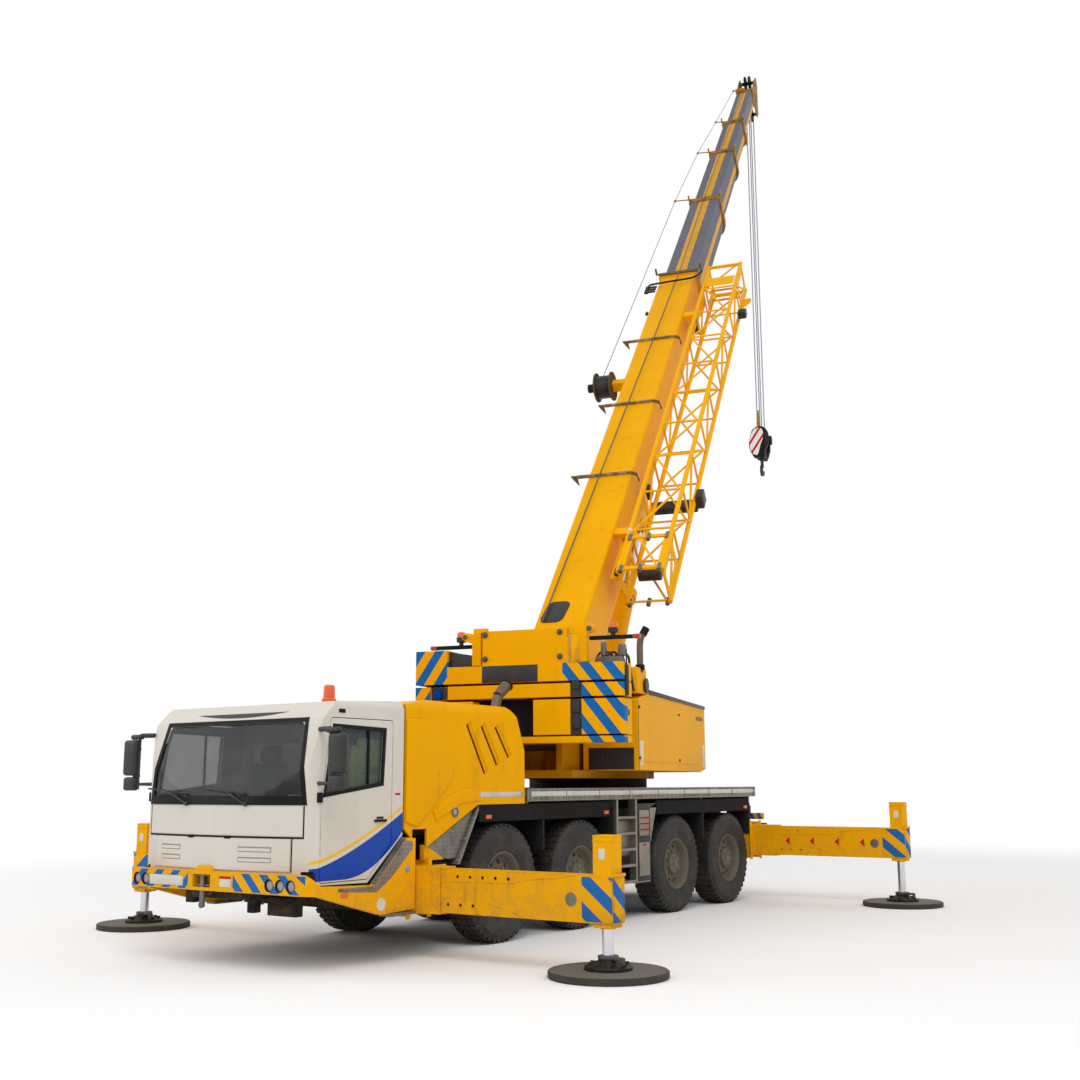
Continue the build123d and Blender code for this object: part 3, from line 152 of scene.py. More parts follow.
@dataclass(frozen=True)
class Value:
    """A number or colour that a material works out at each point, written as plain arithmetic."""

    graph: "Graph"
    socket: bpy.types.NodeSocket

    def __add__(self, other: object) -> "Value":
        """Adds."""
        return self.graph.math("ADD", self, other)

    def __sub__(self, other: object) -> "Value":
        """Subtracts."""
        return self.graph.math("SUBTRACT", self, other)

    def __rsub__(self, other: object) -> "Value":
        """Subtracts from a number."""
        return self.graph.math("SUBTRACT", other, self)

    def __mul__(self, other: object) -> "Value":
        """Multiplies."""
        return self.graph.math("MULTIPLY", self, other)

    def __truediv__(self, other: float) -> "Value":
        """Divides by a number."""
        return self * (1 / other)

    def __pow__(self, other: object) -> "Value":
        """Raises to a power."""
        return self.graph.math("POWER", self, other)

    def __abs__(self) -> "Value":
        """Drops the sign."""
        return self.graph.math("ABSOLUTE", self)

    def __gt__(self, other: object) -> "Value":
        """Gives 1 where it is above another value."""
        return self.graph.math("GREATER_THAN", self, other)

    def __lt__(self, other: object) -> "Value":
        """Gives 1 where it is below another value."""
        return self.graph.math("LESS_THAN", self, other)

    def fract(self) -> "Value":
        """Gives what is past the whole number."""
        return self.graph.math("FRACT", self)


class Graph:
    """The node graph of a material or world, with short calls to add and join its nodes."""

    def __init__(self, owner: bpy.types.ID, output: str) -> None:
        """Starts an empty graph.

        Args:
            owner: The material or world.
            output: Its output node's kind.
        """
        owner.use_nodes = True
        self.owner = owner
        self.tree = owner.node_tree
        self.tree.nodes.clear()
        self.output = self.tree.nodes.new("ShaderNode" + output)

    @classmethod
    def of(cls, name: str) -> "Graph":
        """Starts a new material's graph."""
        return cls(bpy.data.materials.new(name), "OutputMaterial")

    def node(self, kind: str, inputs: Optional[dict] = None, output: object = 0, **settings: object) -> Value:
        """Adds a node.

        Args:
            kind: The node's type without "ShaderNode".
            inputs: Socket name or number to a plain value, or to the value that drives it.
            output: Name or number of the output that is wanted.
            **settings: The node's own settings.

        Returns:
            That output.
        """
        made = self.tree.nodes.new("ShaderNode" + kind)
        for key, value in settings.items():
            setattr(made, key, value)
        for key, value in (inputs or {}).items():
            self.put(made, key, value)
        return Value(self, made.outputs[output])

    def put(self, node: bpy.types.Node, key: object, value: object) -> None:
        """Sets or drives one input of a node.

        Args:
            node: The node.
            key: The input's name or number.
            value: What it gets.
        """
        socket = node.inputs[key]
        if isinstance(value, Value):
            self.tree.links.new(value.socket, socket)
        elif isinstance(value, tuple) and len(value) == 3 and socket.type == "RGBA":
            socket.default_value = (*value, 1)
        else:
            socket.default_value = value

    def math(self, operation: str, first: object, second: object = 0.0, clamp: bool = False) -> Value:
        """Adds a math node and gives its result."""
        return self.node("Math", {0: first, 1: second}, operation=operation, use_clamp=clamp)

    def most(self, first: object, second: object) -> Value:
        """Gives the larger of two values."""
        return self.math("MAXIMUM", first, second)

    def every(self, *shares: Value) -> Value:
        """Multiplies several shares."""
        return reduce(Value.__mul__, shares)

    def within(self, value: Value, low: float, high: float) -> Value:
        """Gives 1 where a value lies between two others."""
        return (value > low) * (value < high)

    def mix(self, share: object, first: object, second: object) -> Value:
        """Mixes two colours and gives the result."""
        return self.node("Mix", {0: share, 6: first, 7: second}, 2, data_type="RGBA")

    def ramp(self, value: object, low: float, high: float) -> Value:
        """Maps low..high of a value smoothly to 0..1."""
        return self.node("MapRange", {0: value, 1: low, 2: high}, interpolation_type="SMOOTHSTEP")

    def noise(self, vector: object, scale: float, detail: float = 3.0, rough: float = 0.55) -> Value:
        """Adds noise over a vector and gives its value."""
        return self.node("TexNoise", {"Vector": vector, "Scale": scale, "Detail": detail, "Roughness": rough})

    def shaded(self, colour: object, value: object) -> Value:
        """Scales a colour's brightness."""
        return self.node("HueSaturation", {"Value": value, "Color": colour})

    def place(self, scale: Point = (1, 1, 1)) -> Value:
        """Gives Object coordinates, scaled."""
        return self.node("Mapping", {0: self.node("TexCoord", None, "Object"), "Scale": tuple(scale)})

    def dot(self, first: object, second: object) -> Value:
        """Gives the dot product of two vectors."""
        return self.node("VectorMath", {0: first, 1: second}, "Value", operation="DOT_PRODUCT")

    def along(self, direction: Point, offset: float = 0.0) -> Value:
        """Gives each point's distance along a direction of the crane's frame."""
        return self.dot(self.node("TexCoord", None, "Object"), tuple(direction)) + offset

    def bump(self, height: object, strength: float, distance: float) -> Value:
        """Turns a height into a normal."""
        return self.node("Bump", {"Height": height, "Strength": strength, "Distance": distance})

    def surface(self, **inputs: object) -> bpy.types.Material:
        """Adds the shader, joins it to the output and gives the material.

        Args:
            **inputs: Shader inputs, with underscores for spaces.

        Returns:
            The material.
        """
        shader = self.node("BsdfPrincipled", {key.replace("_", " "): value for key, value in inputs.items()})
        self.put(self.output, 0, shader)
        return self.owner


@dataclass(frozen=True)
class Paint:
    """Sprayed paint with slow tone changes, run-down dirt, road dust low down and rubbed edges."""

    name: str
    colour: Colour
    roughness: float = 0.42
    coat: float = 0.0
    dirt: float = 0.35
    wear: float = 0.0
    specular: float = 0.04
    pattern: Optional[Callable[[Graph, object], object]] = None
    slot: Optional[str] = "crane_yellow"

    def build(self) -> bpy.types.Material:
        """Builds the material.

        Returns:
            The material.
        """
        g = Graph.of(self.name)
        spots = g.place()
        slow = g.noise(spots, 0.7, 4)
        fine = g.noise(spots, 9.0, 5, 0.65)
        runs = g.noise(g.place((7, 7, 0.7)), 1.0, 5, 0.6)
        tone: object = self.pattern(g, self.colour) if self.pattern else self.colour
        colour = g.shaded(tone, slow * 0.22 + 0.89)
        streak = g.ramp(runs, 0.52, 0.8) * g.ramp(fine, 0.35, 0.7)
        colour = g.mix(streak * self.dirt, colour, srgb(84, 66, 38))
        height = g.along((0, 0, 1))
        low = 1.0 - g.ramp(height, 0.2, 1.5)
        dusty = g.math("MULTIPLY", low * g.ramp(fine, 0.3, 0.75), self.dirt * 0.9, True)
        colour = g.mix(dusty, colour, DUST)
        if self.wear:
            same = g.dot(g.node("Bevel", {"Radius": 0.012}, samples=4), g.node("NewGeometry", None, "Normal"))
            edge = 1.0 - g.ramp(same, 0.8, 0.97)
            rubbed = g.math("MULTIPLY", edge * g.ramp(fine, 0.42, 0.6), self.wear, True)
            colour = g.mix(rubbed, colour, srgb(92, 74, 52))
        rough = fine * 0.16 + (self.roughness - 0.06)
        peel = g.noise(spots, 140.0, 2)
        return g.surface(Base_Color=colour, Roughness=rough, Specular_IOR_Level=self.specular, Coat_Weight=self.coat,
            Coat_Roughness=0.15, Normal=g.bump(peel, 0.06, 0.002))


@dataclass(frozen=True)
class Metal:
    """Bare, galvanised, cast or polished metal."""

    name: str
    colour: Colour
    roughness: float = 0.42
    metallic: float = 0.85
    dirt: float = 0.4
    grain: Point = (20, 20, 20)
    dirt_colour: Colour = srgb(70, 58, 42)
    slot: Optional[str] = "dull_metal"

    def build(self) -> bpy.types.Material:
        """Builds the material.

        Returns:
            The material.
        """
        g = Graph.of(self.name)
        spots = g.place()
        lines = g.noise(g.place(self.grain), 1.0, 6, 0.7)
        blotch = g.noise(spots, 3.0, 5, 0.6)
        shade = g.shaded(self.colour, lines * 0.3 + 0.85)
        colour = g.mix(g.ramp(blotch, 0.45, 0.75) * self.dirt, shade, self.dirt_colour)
        rough = lines * 0.25 + (self.roughness - 0.1)
        return g.surface(Base_Color=colour, Metallic=self.metallic, Roughness=rough, Normal=g.bump(lines, 0.12, 0.002))


@dataclass(frozen=True)
class Chequer:
    """Aluminium tread plate with short raised bars that lie two ways."""

    name: str
    colour: Colour = srgb(128, 124, 116)
    pitch: float = 0.045
    across: Point = (0, 1, 0)
    along: Point = (0, 0, 1)
    slot: Optional[str] = "dull_metal"

    def build(self) -> bpy.types.Material:
        """Builds the material.

        Returns:
            The material.
        """
        g = Graph.of(self.name)
        first = g.along(self.across) / self.pitch
        second = g.along(self.along) / self.pitch
        cell = g.math("FLOOR", first) + g.math("FLOOR", second)
        odd = g.math("PINGPONG", cell, 1.0)
        u = first.fract() - 0.5
        v = second.fract() - 0.5
        plus, minus = u + v, u - v
        bar = g.node("Mix", {0: odd, 2: plus, 3: minus}, data_type="FLOAT")
        cross = g.node("Mix", {0: odd, 2: minus, 3: plus}, data_type="FLOAT")
        width = 1.0 - g.ramp(abs(bar), 0.06, 0.2)
        length = 1.0 - g.ramp(abs(cross), 0.35, 0.6)
        raised = width * length
        blotch = g.noise(g.place(), 4.0, 5, 0.65)
        colour = g.mix(raised * 0.45, self.colour, srgb(196, 192, 184))
        colour = g.mix(g.ramp(blotch, 0.4, 0.75) * 0.6, colour, srgb(66, 58, 46))
        return g.surface(Base_Color=colour, Metallic=0.6, Roughness=blotch * 0.3 + 0.35,
            Normal=g.bump(raised, 0.7, 0.004))


@dataclass(frozen=True)
class Rubber:
    """Tyre rubber and moulded black parts, greyed by dust."""

    name: str
    colour: Colour = srgb(24, 23, 23)
    roughness: float = 0.7
    dust: float = 0.5
    grain: float = 60.0
    slot: Optional[str] = "moulded_black"

    def build(self) -> bpy.types.Material:
        """Builds the material.

        Returns:
            The material.
        """
        g = Graph.of(self.name)
        spots = g.place()
        blotch = g.noise(spots, 3.5, 6, 0.65)
        fine = g.noise(spots, self.grain, 3)
        share = g.ramp(blotch, 0.4, 0.8) * self.dust
        colour = g.mix(share, self.colour, srgb(92, 82, 68))
        rough = blotch * 0.2 + (self.roughness - 0.1)
        return g.surface(Base_Color=colour, Roughness=rough, Normal=g.bump(fine, 0.15, 0.002))


@dataclass(frozen=True)
class Glass:
    """Tinted window glass, thin and slightly dusty."""

    name: str
    colour: Colour = srgb(92, 104, 108)
    alpha: float = 0.45
    roughness: float = 0.03
    slot: Optional[str] = None

    def build(self) -> bpy.types.Material:
        """Builds the material.

        Returns:
            The material.
        """
        g = Graph.of(self.name)
        film = g.noise(g.place(), 2.5, 5, 0.6)
        colour = g.mix(g.ramp(film, 0.45, 0.8) * 0.25, self.colour, srgb(150, 148, 140))
        return g.surface(Base_Color=colour, Roughness=self.roughness, Alpha=self.alpha, Specular_IOR_Level=0.4)


@dataclass(frozen=True)
class Lamp:
    """A coloured or clear lens with moulded ribs behind it."""

    name: str
    colour: Colour
    glow: float = 0.0
    ribs: float = 160.0
    slot: Optional[str] = None

    def build(self) -> bpy.types.Material:
        """Builds the material.

        Returns:
            The material.
        """
        g = Graph.of(self.name)
        wave = g.node("TexWave", {"Vector": g.place(), "Scale": self.ribs}, 1, wave_type="BANDS", bands_direction="X")
        colour = g.mix(wave * 0.1, self.colour, WHITE)
        return g.surface(Base_Color=colour, Roughness=0.15, Coat_Weight=0.1, Specular_IOR_Level=0.3,
            Emission_Color=self.colour, Emission_Strength=self.glow, Normal=g.bump(wave, 0.2, 0.002))


@dataclass(frozen=True)
class WireRope:
    """Steel rope whose strands wind around it."""

    name: str
    colour: Colour = srgb(158, 163, 176)
    axis: Point = (0, 0, 1)
    lay: float = 0.09
    slot: Optional[str] = "rope"

    def build(self) -> bpy.types.Material:
        """Builds the material.

        Returns:
            The material.
        """
        g = Graph.of(self.name)
        twist = g.math("SINE", g.along(self.axis) * (2 * math.pi / self.lay * 6))
        shade = g.ramp(twist, -1.0, 1.0)
        colour = g.mix(shade * 0.45 + 0.55, srgb(70, 70, 72), self.colour)
        return g.surface(Base_Color=colour, Metallic=0.2, Roughness=0.5, Normal=g.bump(shade, 0.4, 0.003))


@dataclass(frozen=True)
class Fabric:
    """Woven seat cloth."""

    name: str
    colour: Colour = srgb(52, 54, 60)
    slot: Optional[str] = "moulded_black"

    def build(self) -> bpy.types.Material:
        """Builds the material.

        Returns:
            The material.
        """
        g = Graph.of(self.name)
        spots = g.place()
        warp, weft = (g.node("TexWave", {"Vector": spots, "Scale": 90.0, "Distortion": 1.0}, 1,
            bands_direction=axis) for axis in "XZ")
        weave = warp * weft
        colour = g.mix(weave * 0.5, self.colour, srgb(92, 94, 102))
        return g.surface(Base_Color=colour, Roughness=0.9, Sheen_Weight=0.3, Normal=g.bump(weave, 0.3, 0.002))


def stripes(direction: Point, period: float, other: Colour = BLUE, offset: float = 0.0, mirror: Optional[Point] = None,
        middle: float = 0.0) -> Callable[[Graph, object], object]:
    """Makes a pattern of slanting warning stripes.

    Args:
        direction: Across the stripes, in the crane's frame.
        period: From one stripe to the next.
        other: The second colour.
        offset: Shifts the stripes.
        mirror: A direction about whose middle the stripes form chevrons.
        middle: Where that middle is.

    Returns:
        The pattern, which gives a colour from a graph and the first colour.
    """
    def pattern(g: Graph, base: object) -> object:
        """Gives the striped colour."""
        value = g.along(direction, offset)
        if mirror is not None:
            side = abs(g.along(mirror, -middle))
            value = value + side
        phase = (value / period).fract()
        return g.mix(phase > 0.5, base, other)
    return pattern


def boom_bands(half: float, top: float, end: float) -> Callable[[Graph, object], object]:
    """Makes a boom section's worn yellow bands: one along its top and one down each lower flank.

    Args:
        half: Half the section's width.
        top: Height of its top face above the foot pin's line.
        end: Where its collar ends along the boom.

    Returns:
        The pattern.
    """
    def pattern(g: Graph, base: object) -> object:
        """Gives the banded colour."""
        frame = STANCE.boom
        across, over = frame.col[0].to_3d(), frame.col[2].to_3d()
        origin = frame.translation
        side = abs(g.along(tuple(across), -across.dot(origin)))
        height = g.along(tuple(over), -over.dot(origin))
        ragged = (g.noise(g.place(), 5.0, 5, 0.7) - 0.5) * 0.05
        on_top = (height > top - 0.012) * (side + ragged < half * 0.36)
        flank = (side > half * 0.9) * ((height + ragged < top - 0.34) * (height > top - 0.5))
        worn = g.ramp(g.noise(g.place(), 3.0, 6, 0.7), 0.2, 0.42)
        share = g.most(on_top, flank) * worn
        station = g.along(tuple(frame.col[1].to_3d()), -frame.col[1].to_3d().dot(origin))
        collar = g.mix(g.ramp(g.noise(g.place(), 5.0, 5, 0.7), 0.35, 0.65), srgb(104, 82, 48), BROWN_YELLOW)
        ring = station > (end - 0.172 if end < 24 else 23.95)
        sheaves = g.every(side < 0.13, station > 24.2)
        painted = g.mix(ring, g.mix(share, base, srgb(222, 164, 62)), collar)
        return g.mix(sheaves, painted, BLACK)
    return pattern


class Dress(Enum):
    """Every finish on the crane."""

    YELLOW = Paint("crane_yellow", SIGNAL_YELLOW, dirt=0.3)
    BEAM_YELLOW = Paint("outrigger_yellow", SIGNAL_YELLOW, dirt=0.4, wear=0.8)
    JIB_YELLOW = Paint("jib_yellow", JIB_YELLOW, dirt=0.3)
    # Painted shade: the turntable lies in deep shade under the upper works, so its yellow is a darkened brown-yellow.
    # Its high dirt share adds darker streaks that are partly dirt and partly painted shade.
    SHADED_TURNTABLE_YELLOW = Paint("turntable_painted_shade_yellow", srgb(186, 126, 6), roughness=0.5, dirt=0.8)
    COLLAR = Paint("collar_ochre", BROWN_YELLOW, roughness=0.5, coat=0.05, dirt=0.7, wear=0.6, slot="boom_grey")
    CAB_WHITE = Paint("cab_white", WHITE, roughness=0.28, coat=0.3, dirt=0.12, specular=0.4, slot="cab_white")
    SWOOSH = Paint("swoosh_blue", DEEP_BLUE, roughness=0.3, dirt=0.12, slot="moulded_black")
    CHASSIS = Paint("chassis_black", srgb(34, 33, 33), roughness=0.6, dirt=0.5, slot="frame_black")
    TRIM = Paint("trim_black", srgb(26, 26, 28), roughness=0.42, coat=0.1, dirt=0.25, slot="moulded_black")
    RIM_GREY = Paint("rim_grey", srgb(104, 98, 88), roughness=0.55, dirt=0.7, wear=0.4, slot="wheel")
    RED = Paint("signal_red", RED, roughness=0.35, dirt=0.1)
    PLATE = Paint("blank_plate", srgb(214, 212, 200), roughness=0.4, dirt=0.3, slot="cab_white")
    ALUMINIUM = Metal("aluminium", srgb(142, 136, 124), 0.42, 0.7, 0.45, (3, 40, 40))
    STRIP = Metal("silver_strip", srgb(196, 192, 184), 0.3, 0.8, 0.2, (2, 60, 60))
    STEEL = Metal("dull_steel", srgb(120, 116, 110), 0.45, 0.8, 0.5)
    CHROME = Metal("chromed_rod", srgb(212, 212, 216), 0.14, 1.0, 0.12, (60, 60, 2), slot="chrome")
    CAST = Metal("cast_grey", srgb(86, 84, 80), 0.6, 0.4, 0.5)
    EXHAUST = Metal("heat_stained", srgb(110, 96, 80), 0.5, 0.8, 0.6, slot="engine")
    MIRROR = Metal("mirror_face", srgb(200, 206, 212), 0.05, 1.0, 0.05, slot=None)
    TREAD_PLATE = Chequer("tread_plate")
    DECK_PLATE = Chequer("deck_plate", srgb(118, 112, 102), 0.06, (1, 0, 0), (0, 1, 0))
    TYRE = Rubber("tyre_rubber", slot="wheel")
    MOULDED = Rubber("moulded_black", srgb(22, 22, 24), 0.5, 0.2, 200.0)
    HOSE = Rubber("hose_black", srgb(18, 18, 20), 0.45, 0.25, 300.0)
    MAT = Rubber("mat_composite", srgb(98, 94, 84), 0.85, 0.8, 25.0, slot="mat_black")
    MAT_EDGE = Rubber("mat_edge", srgb(52, 50, 44), 0.9, 0.5, 40.0, slot="mat_black")
    SLOT_GREY = Paint("slot_grey", srgb(150, 148, 142), roughness=0.4, dirt=0.2, slot="cab_white")
    PAPER = Paint("paper", srgb(232, 230, 220), roughness=0.6, dirt=0.1, slot="cab_white")
    LIME = Fabric("jacket_lime", srgb(176, 214, 40))
    GLASS = Glass("tinted_glass", srgb(70, 80, 86), 0.42)
    SCREEN = Glass("windscreen_glass", srgb(36, 40, 42), 0.42)
    AMBER = Lamp("amber_lens", srgb(226, 84, 6), 0.04)
    RED_LENS = Lamp("red_lens", srgb(176, 8, 14), 0.02)
    CLEAR = Lamp("clear_lens", srgb(150, 152, 156), 0.0)
    ROPE = WireRope("hoist_rope")
    BOOM_ROPE = WireRope("boom_rope", srgb(96, 90, 82), tuple(STANCE.boom.col[1].to_3d()))
    CABLE = WireRope("reel_cable", srgb(120, 114, 104))
    BRASS = Metal("rope_clamp_brass", srgb(150, 112, 62), 0.4, 0.8, 0.4, slot="steel")
    HOOK = Metal("hook_dark", srgb(56, 58, 66), 0.45, 0.6, 0.3, slot="steel")
    CLOTH = Fabric("seat_cloth")


_built: dict[str, bpy.types.Material] = {}


def look_of(finish: object) -> object:
    """Gives what a Dress member stands for, or a finish of its own."""
    return finish.value if isinstance(finish, Dress) else finish


def finish_of(finish: object) -> bpy.types.Material:
    """Gives the material of a finish, built the first time that it is asked for.

    Args:
        finish: A Dress member or a finish of its own.

    Returns:
        The material.
    """
    look = look_of(finish)
    if look.name not in _built:
        _built[look.name] = look.build()
    return _built[look.name]


# ---------------------------------------------------------------- modelling
class Side(Enum):
    """The plane that an outline is drawn in."""

    SIDE = (1, 2, 0)
    FRONT = (0, 2, 1)
    PLAN = (0, 1, 2)


class Shaper:
    """Builds one mesh in a local frame from bmesh operators."""

    def __init__(self, frame: Matrix) -> None:
        """Starts an empty mesh.

        Args:
            frame: From the local frame to the crane's.
        """
        self.bm = bmesh.new()
        self.frame = frame

    def _round(self, verts: Iterable[bmesh.types.BMVert], size: float, segments: int) -> None:
        """Rounds the edges between new vertices."""
        if size <= 0:
            return
        group = set(verts)
        edges = [e for e in self.bm.edges if e.verts[0] in group and e.verts[1] in group]
        bmesh.ops.bevel(self.bm, geom=edges, offset=size, segments=segments, profile=0.5, affect="EDGES",
            clamp_overlap=True, material=-1)

    def box(self, centre: Point, size: Point, bevel: float = 0.004, turn: Optional[Matrix] = None,
            segments: int = 2) -> "Shaper":
        """Adds a block with rounded edges.

        Args:
            centre: Its middle.
            size: Its three lengths.
            bevel: Rounding of its edges.
            turn: Turns it about its middle.
            segments: Steps in the rounding.

        Returns:
            The shaper.
        """
        place = Matrix.Translation(centre) @ (turn or Matrix.Identity(4)) @ Matrix.Diagonal((*size, 1))
        made = bmesh.ops.create_cube(self.bm, size=1.0, matrix=place)
        self._round(made["verts"], min(bevel, min(size) * 0.45), segments)
        return self

    def prism(self, outline: Sequence[Point], side: Side, low: float, high: float, bevel: float = 0.004,
            segments: int = 2) -> "Shaper":
        """Extrudes an outline.

        Args:
            outline: Its corners in the side's two coordinates.
            side: The plane it is drawn in.
            low: Where it starts along the third coordinate.
            high: Where it ends.
            bevel: Rounding of its edges.
            segments: Steps in the rounding.

        Returns:
            The shaper.
        """
        first, second, third = side.value
        verts = []
        for a, b in outline:
            place = [0.0, 0.0, 0.0]
            place[first], place[second], place[third] = a, b, low
            verts.append(self.bm.verts.new(place))
        face = self.bm.faces.new(verts)
        made = bmesh.ops.extrude_face_region(self.bm, geom=[face])
        moved = [v for v in made["geom"] if isinstance(v, bmesh.types.BMVert)]
        step = [0.0, 0.0, 0.0]
        step[third] = high - low
        bmesh.ops.translate(self.bm, verts=moved, vec=step)
        group = set(verts) | set(moved)
        faces = {f for v in group for f in v.link_faces if all(x in group for x in f.verts)}
        bmesh.ops.recalc_face_normals(self.bm, faces=list(faces))
        self._round(group, bevel, segments)
        return self

    def rod(self, start: Point, end: Point, radius: float, sides: int = 14, far: Optional[float] = None,
            bevel: float = 0.0) -> "Shaper":
        """Adds a round bar or cone from one point to another.

        Args:
            start: Its first end's middle.
            end: Its other end's middle.
            radius: Its radius.
            sides: Steps around it.
            far: Its radius at the other end.
            bevel: Rounding of its rims.

        Returns:
            The shaper.
        """
        a, b = Vector(start), Vector(end)
        place = Matrix.Translation((a + b) / 2) @ (b - a).to_track_quat("Z", "Y").to_matrix().to_4x4()
        made = bmesh.ops.create_cone(self.bm, cap_ends=True, cap_tris=False, segments=sides, radius1=radius,
            radius2=radius if far is None else far, depth=(b - a).length, matrix=place)
        if bevel:
            caps = {f for v in made["verts"] for f in v.link_faces if len(f.verts) == sides}
            rims = list({e for f in caps for e in f.edges})
            bmesh.ops.bevel(self.bm, geom=rims, offset=bevel, segments=2, profile=0.5, affect="EDGES",
                clamp_overlap=True, material=-1)
        return self

    def lathe(self, profile: Sequence[Point], centre: Point, axis: Point, steps: int = 48) -> "Shaper":
        """Spins a profile of (radius, height) points around an axis.

        Args:
            profile: Its points, from one end to the other.
            centre: Where height is 0 on the axis.
            axis: The axis's direction.
            steps: Steps around it.

        Returns:
            The shaper.
        """
        turn = Vector(axis).to_track_quat("Z", "Y").to_matrix().to_4x4()
        place = Matrix.Translation(centre) @ turn
        verts = [self.bm.verts.new(place @ Vector((r, 0, h))) for r, h in profile]
        edges = [self.bm.edges.new(pair) for pair in zip(verts, verts[1:])]
        made = bmesh.ops.spin(self.bm, geom=verts + edges, cent=Vector(centre), axis=Vector(axis).normalized(),
            angle=2 * math.pi, steps=steps, use_merge=True, use_duplicate=False)
        group = set(verts) | {v for v in made["geom_last"] if isinstance(v, bmesh.types.BMVert)}
        faces, todo = set(), list(group)
        seen = set(group)
        while todo:
            vert = todo.pop()
            for face in vert.link_faces:
                if face in faces:
                    continue
                faces.add(face)
                for other in face.verts:
                    if other not in seen:
                        seen.add(other)
                        todo.append(other)
        live = [v for v in seen if v.is_valid]
        bmesh.ops.remove_doubles(self.bm, verts=live, dist=1e-5)
        faces = [f for f in faces if f.is_valid]
        bmesh.ops.recalc_face_normals(self.bm, faces=faces)
        return self

    def skin(self, rows: Sequence[Sequence[Point]], depth: Point) -> "Shaper":
        """Adds a curved sheet through a grid of points.

        Args:
            rows: The points, row by row.
            depth: The step from its front to its back.

        Returns:
            The shaper.
        """
        step = Vector(depth)
        front = [[self.bm.verts.new(p) for p in row] for row in rows]
        back = [[self.bm.verts.new(Vector(p) + step) for p in row] for row in rows]
        faces, last, end = [], len(rows) - 1, len(rows[0]) - 1
        for grid in (front, back):
            for i in range(last):
                for j in range(end):
                    faces.append((grid[i][j], grid[i][j + 1], grid[i + 1][j + 1], grid[i + 1][j]))
        for i in range(last):
            for j in (0, end):
                faces.append((front[i][j], front[i + 1][j], back[i + 1][j], back[i][j]))
        for j in range(end):
            for i in (0, last):
                faces.append((front[i][j], front[i][j + 1], back[i][j + 1], back[i][j]))
        made = [self.bm.faces.new(corners) for corners in faces]
        bmesh.ops.recalc_face_normals(self.bm, faces=made)
        return self

    def copies(self, other: "Shaper", places: Iterable[Matrix]) -> "Shaper":
        """Adds another shaper's mesh at each of several places.

        Args:
            other: What is copied.
            places: Where each copy goes.

        Returns:
            Itself.
        """
        mesh = bpy.data.meshes.new("copy")
        other.bm.to_mesh(mesh)
        for place in places:
            before = set(self.bm.verts)
            self.bm.from_mesh(mesh)
            added = [v for v in self.bm.verts if v not in before]
            bmesh.ops.transform(self.bm, matrix=place, verts=added)
        bpy.data.meshes.remove(mesh)
        return self

    def done(self, name: str, body: str, finish: object, slot: Optional[str] = None, smooth: float = 34.0,
            replaces: Sequence[str] = ()) -> bpy.types.Object:
        """Turns the mesh into a piece that rides on a body.

        Args:
            name: The piece's name.
            body: The CAD body that it rides on.
            finish: Its finish.
            slot: The record's material slot, where it isn't the finish's usual one.
            smooth: Edges flatter than this angle are shaded smooth.
            replaces: CAD nodes that it stands for.

        Returns:
            The piece.
        """
        return settle(self.mesh(name), name, body, finish, slot, smooth, replaces)

    def mesh(self, name: str) -> bpy.types.Mesh:
        """Turns the shape into a mesh in the crane's frame."""
        mesh = bpy.data.meshes.new(name)
        bmesh.ops.transform(self.bm, matrix=self.frame, verts=self.bm.verts)
        self.bm.to_mesh(mesh)
        self.bm.free()
        return mesh


def dressed(mesh: bpy.types.Mesh, name: str, finish: object, smooth: float) -> bpy.types.Object:
    """Makes a mesh an object of the scene with its finish.

    Args:
        mesh: The mesh, in the crane's frame.
        name: The piece's name.
        finish: Its finish.
        smooth: Edges flatter than this angle are shaded smooth.

    Returns:
        The object.
    """
    mesh.materials.clear()
    mesh.materials.append(finish_of(finish))
    mesh.shade_smooth()
    mesh.set_sharp_from_angle(angle=math.radians(smooth))
    piece = bpy.data.objects.new(name, mesh)
    bpy.context.scene.collection.objects.link(piece)
    return piece


def settle(mesh: bpy.types.Mesh, name: str, body: str, finish: object, slot: Optional[str] = None,
        smooth: float = 34.0, replaces: Sequence[str] = ()) -> bpy.types.Object:
    """Makes a mesh in the crane's frame a finished piece.

    Args:
        mesh: The mesh.
        name: The piece's name.
        body: The CAD body that it rides on.
        finish: Its finish.
        slot: Not used.
        smooth: Edges flatter than this angle are shaded smooth.
        replaces: CAD nodes that it stands for.

    Returns:
        The piece.
    """
    piece = dressed(mesh, name, finish, smooth)
    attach(piece, body)
    log.info("%s on %s", name, body)
    slot = slot or look_of(finish).slot
    if replaces:
        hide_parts(*replaces)
    return piece


def place_at(point: Point, turn: float = 0.0, axis: str = "Z") -> Matrix:
    """Gives a place with a turn about one axis."""
    return Matrix.Translation(point) @ Matrix.Rotation(turn, 4, axis)


def carve(shape: Shaper, cutters: Shaper) -> Shaper:
    """Cuts one mesh out of another in their own frame.

    Args:
        shape: The mesh that is cut.
        cutters: What is taken away.

    Returns:
        A shaper with the result.
    """
    objects = []
    for name, shaper in (("shape", shape), ("cutters", cutters)):
        mesh = bpy.data.meshes.new(name)
        shaper.bm.to_mesh(mesh)
        shaper.bm.free()
        thing = bpy.data.objects.new(name, mesh)
        bpy.context.scene.collection.objects.link(thing)
        objects.append(thing)
    cut = objects[0].modifiers.new("cut", "BOOLEAN")
    cut.operation = "DIFFERENCE"
    cut.solver = "EXACT"
    cut.object = objects[1]
    cut.use_self = True
    bpy.context.view_layer.update()
    mesh = bpy.data.meshes.new_from_object(objects[0].evaluated_get(bpy.context.evaluated_depsgraph_get()))
    result = Shaper(shape.frame)
    result.bm.from_mesh(mesh)
    for thing in objects:
        bpy.data.objects.remove(thing)
    bpy.data.meshes.remove(mesh)
    return result


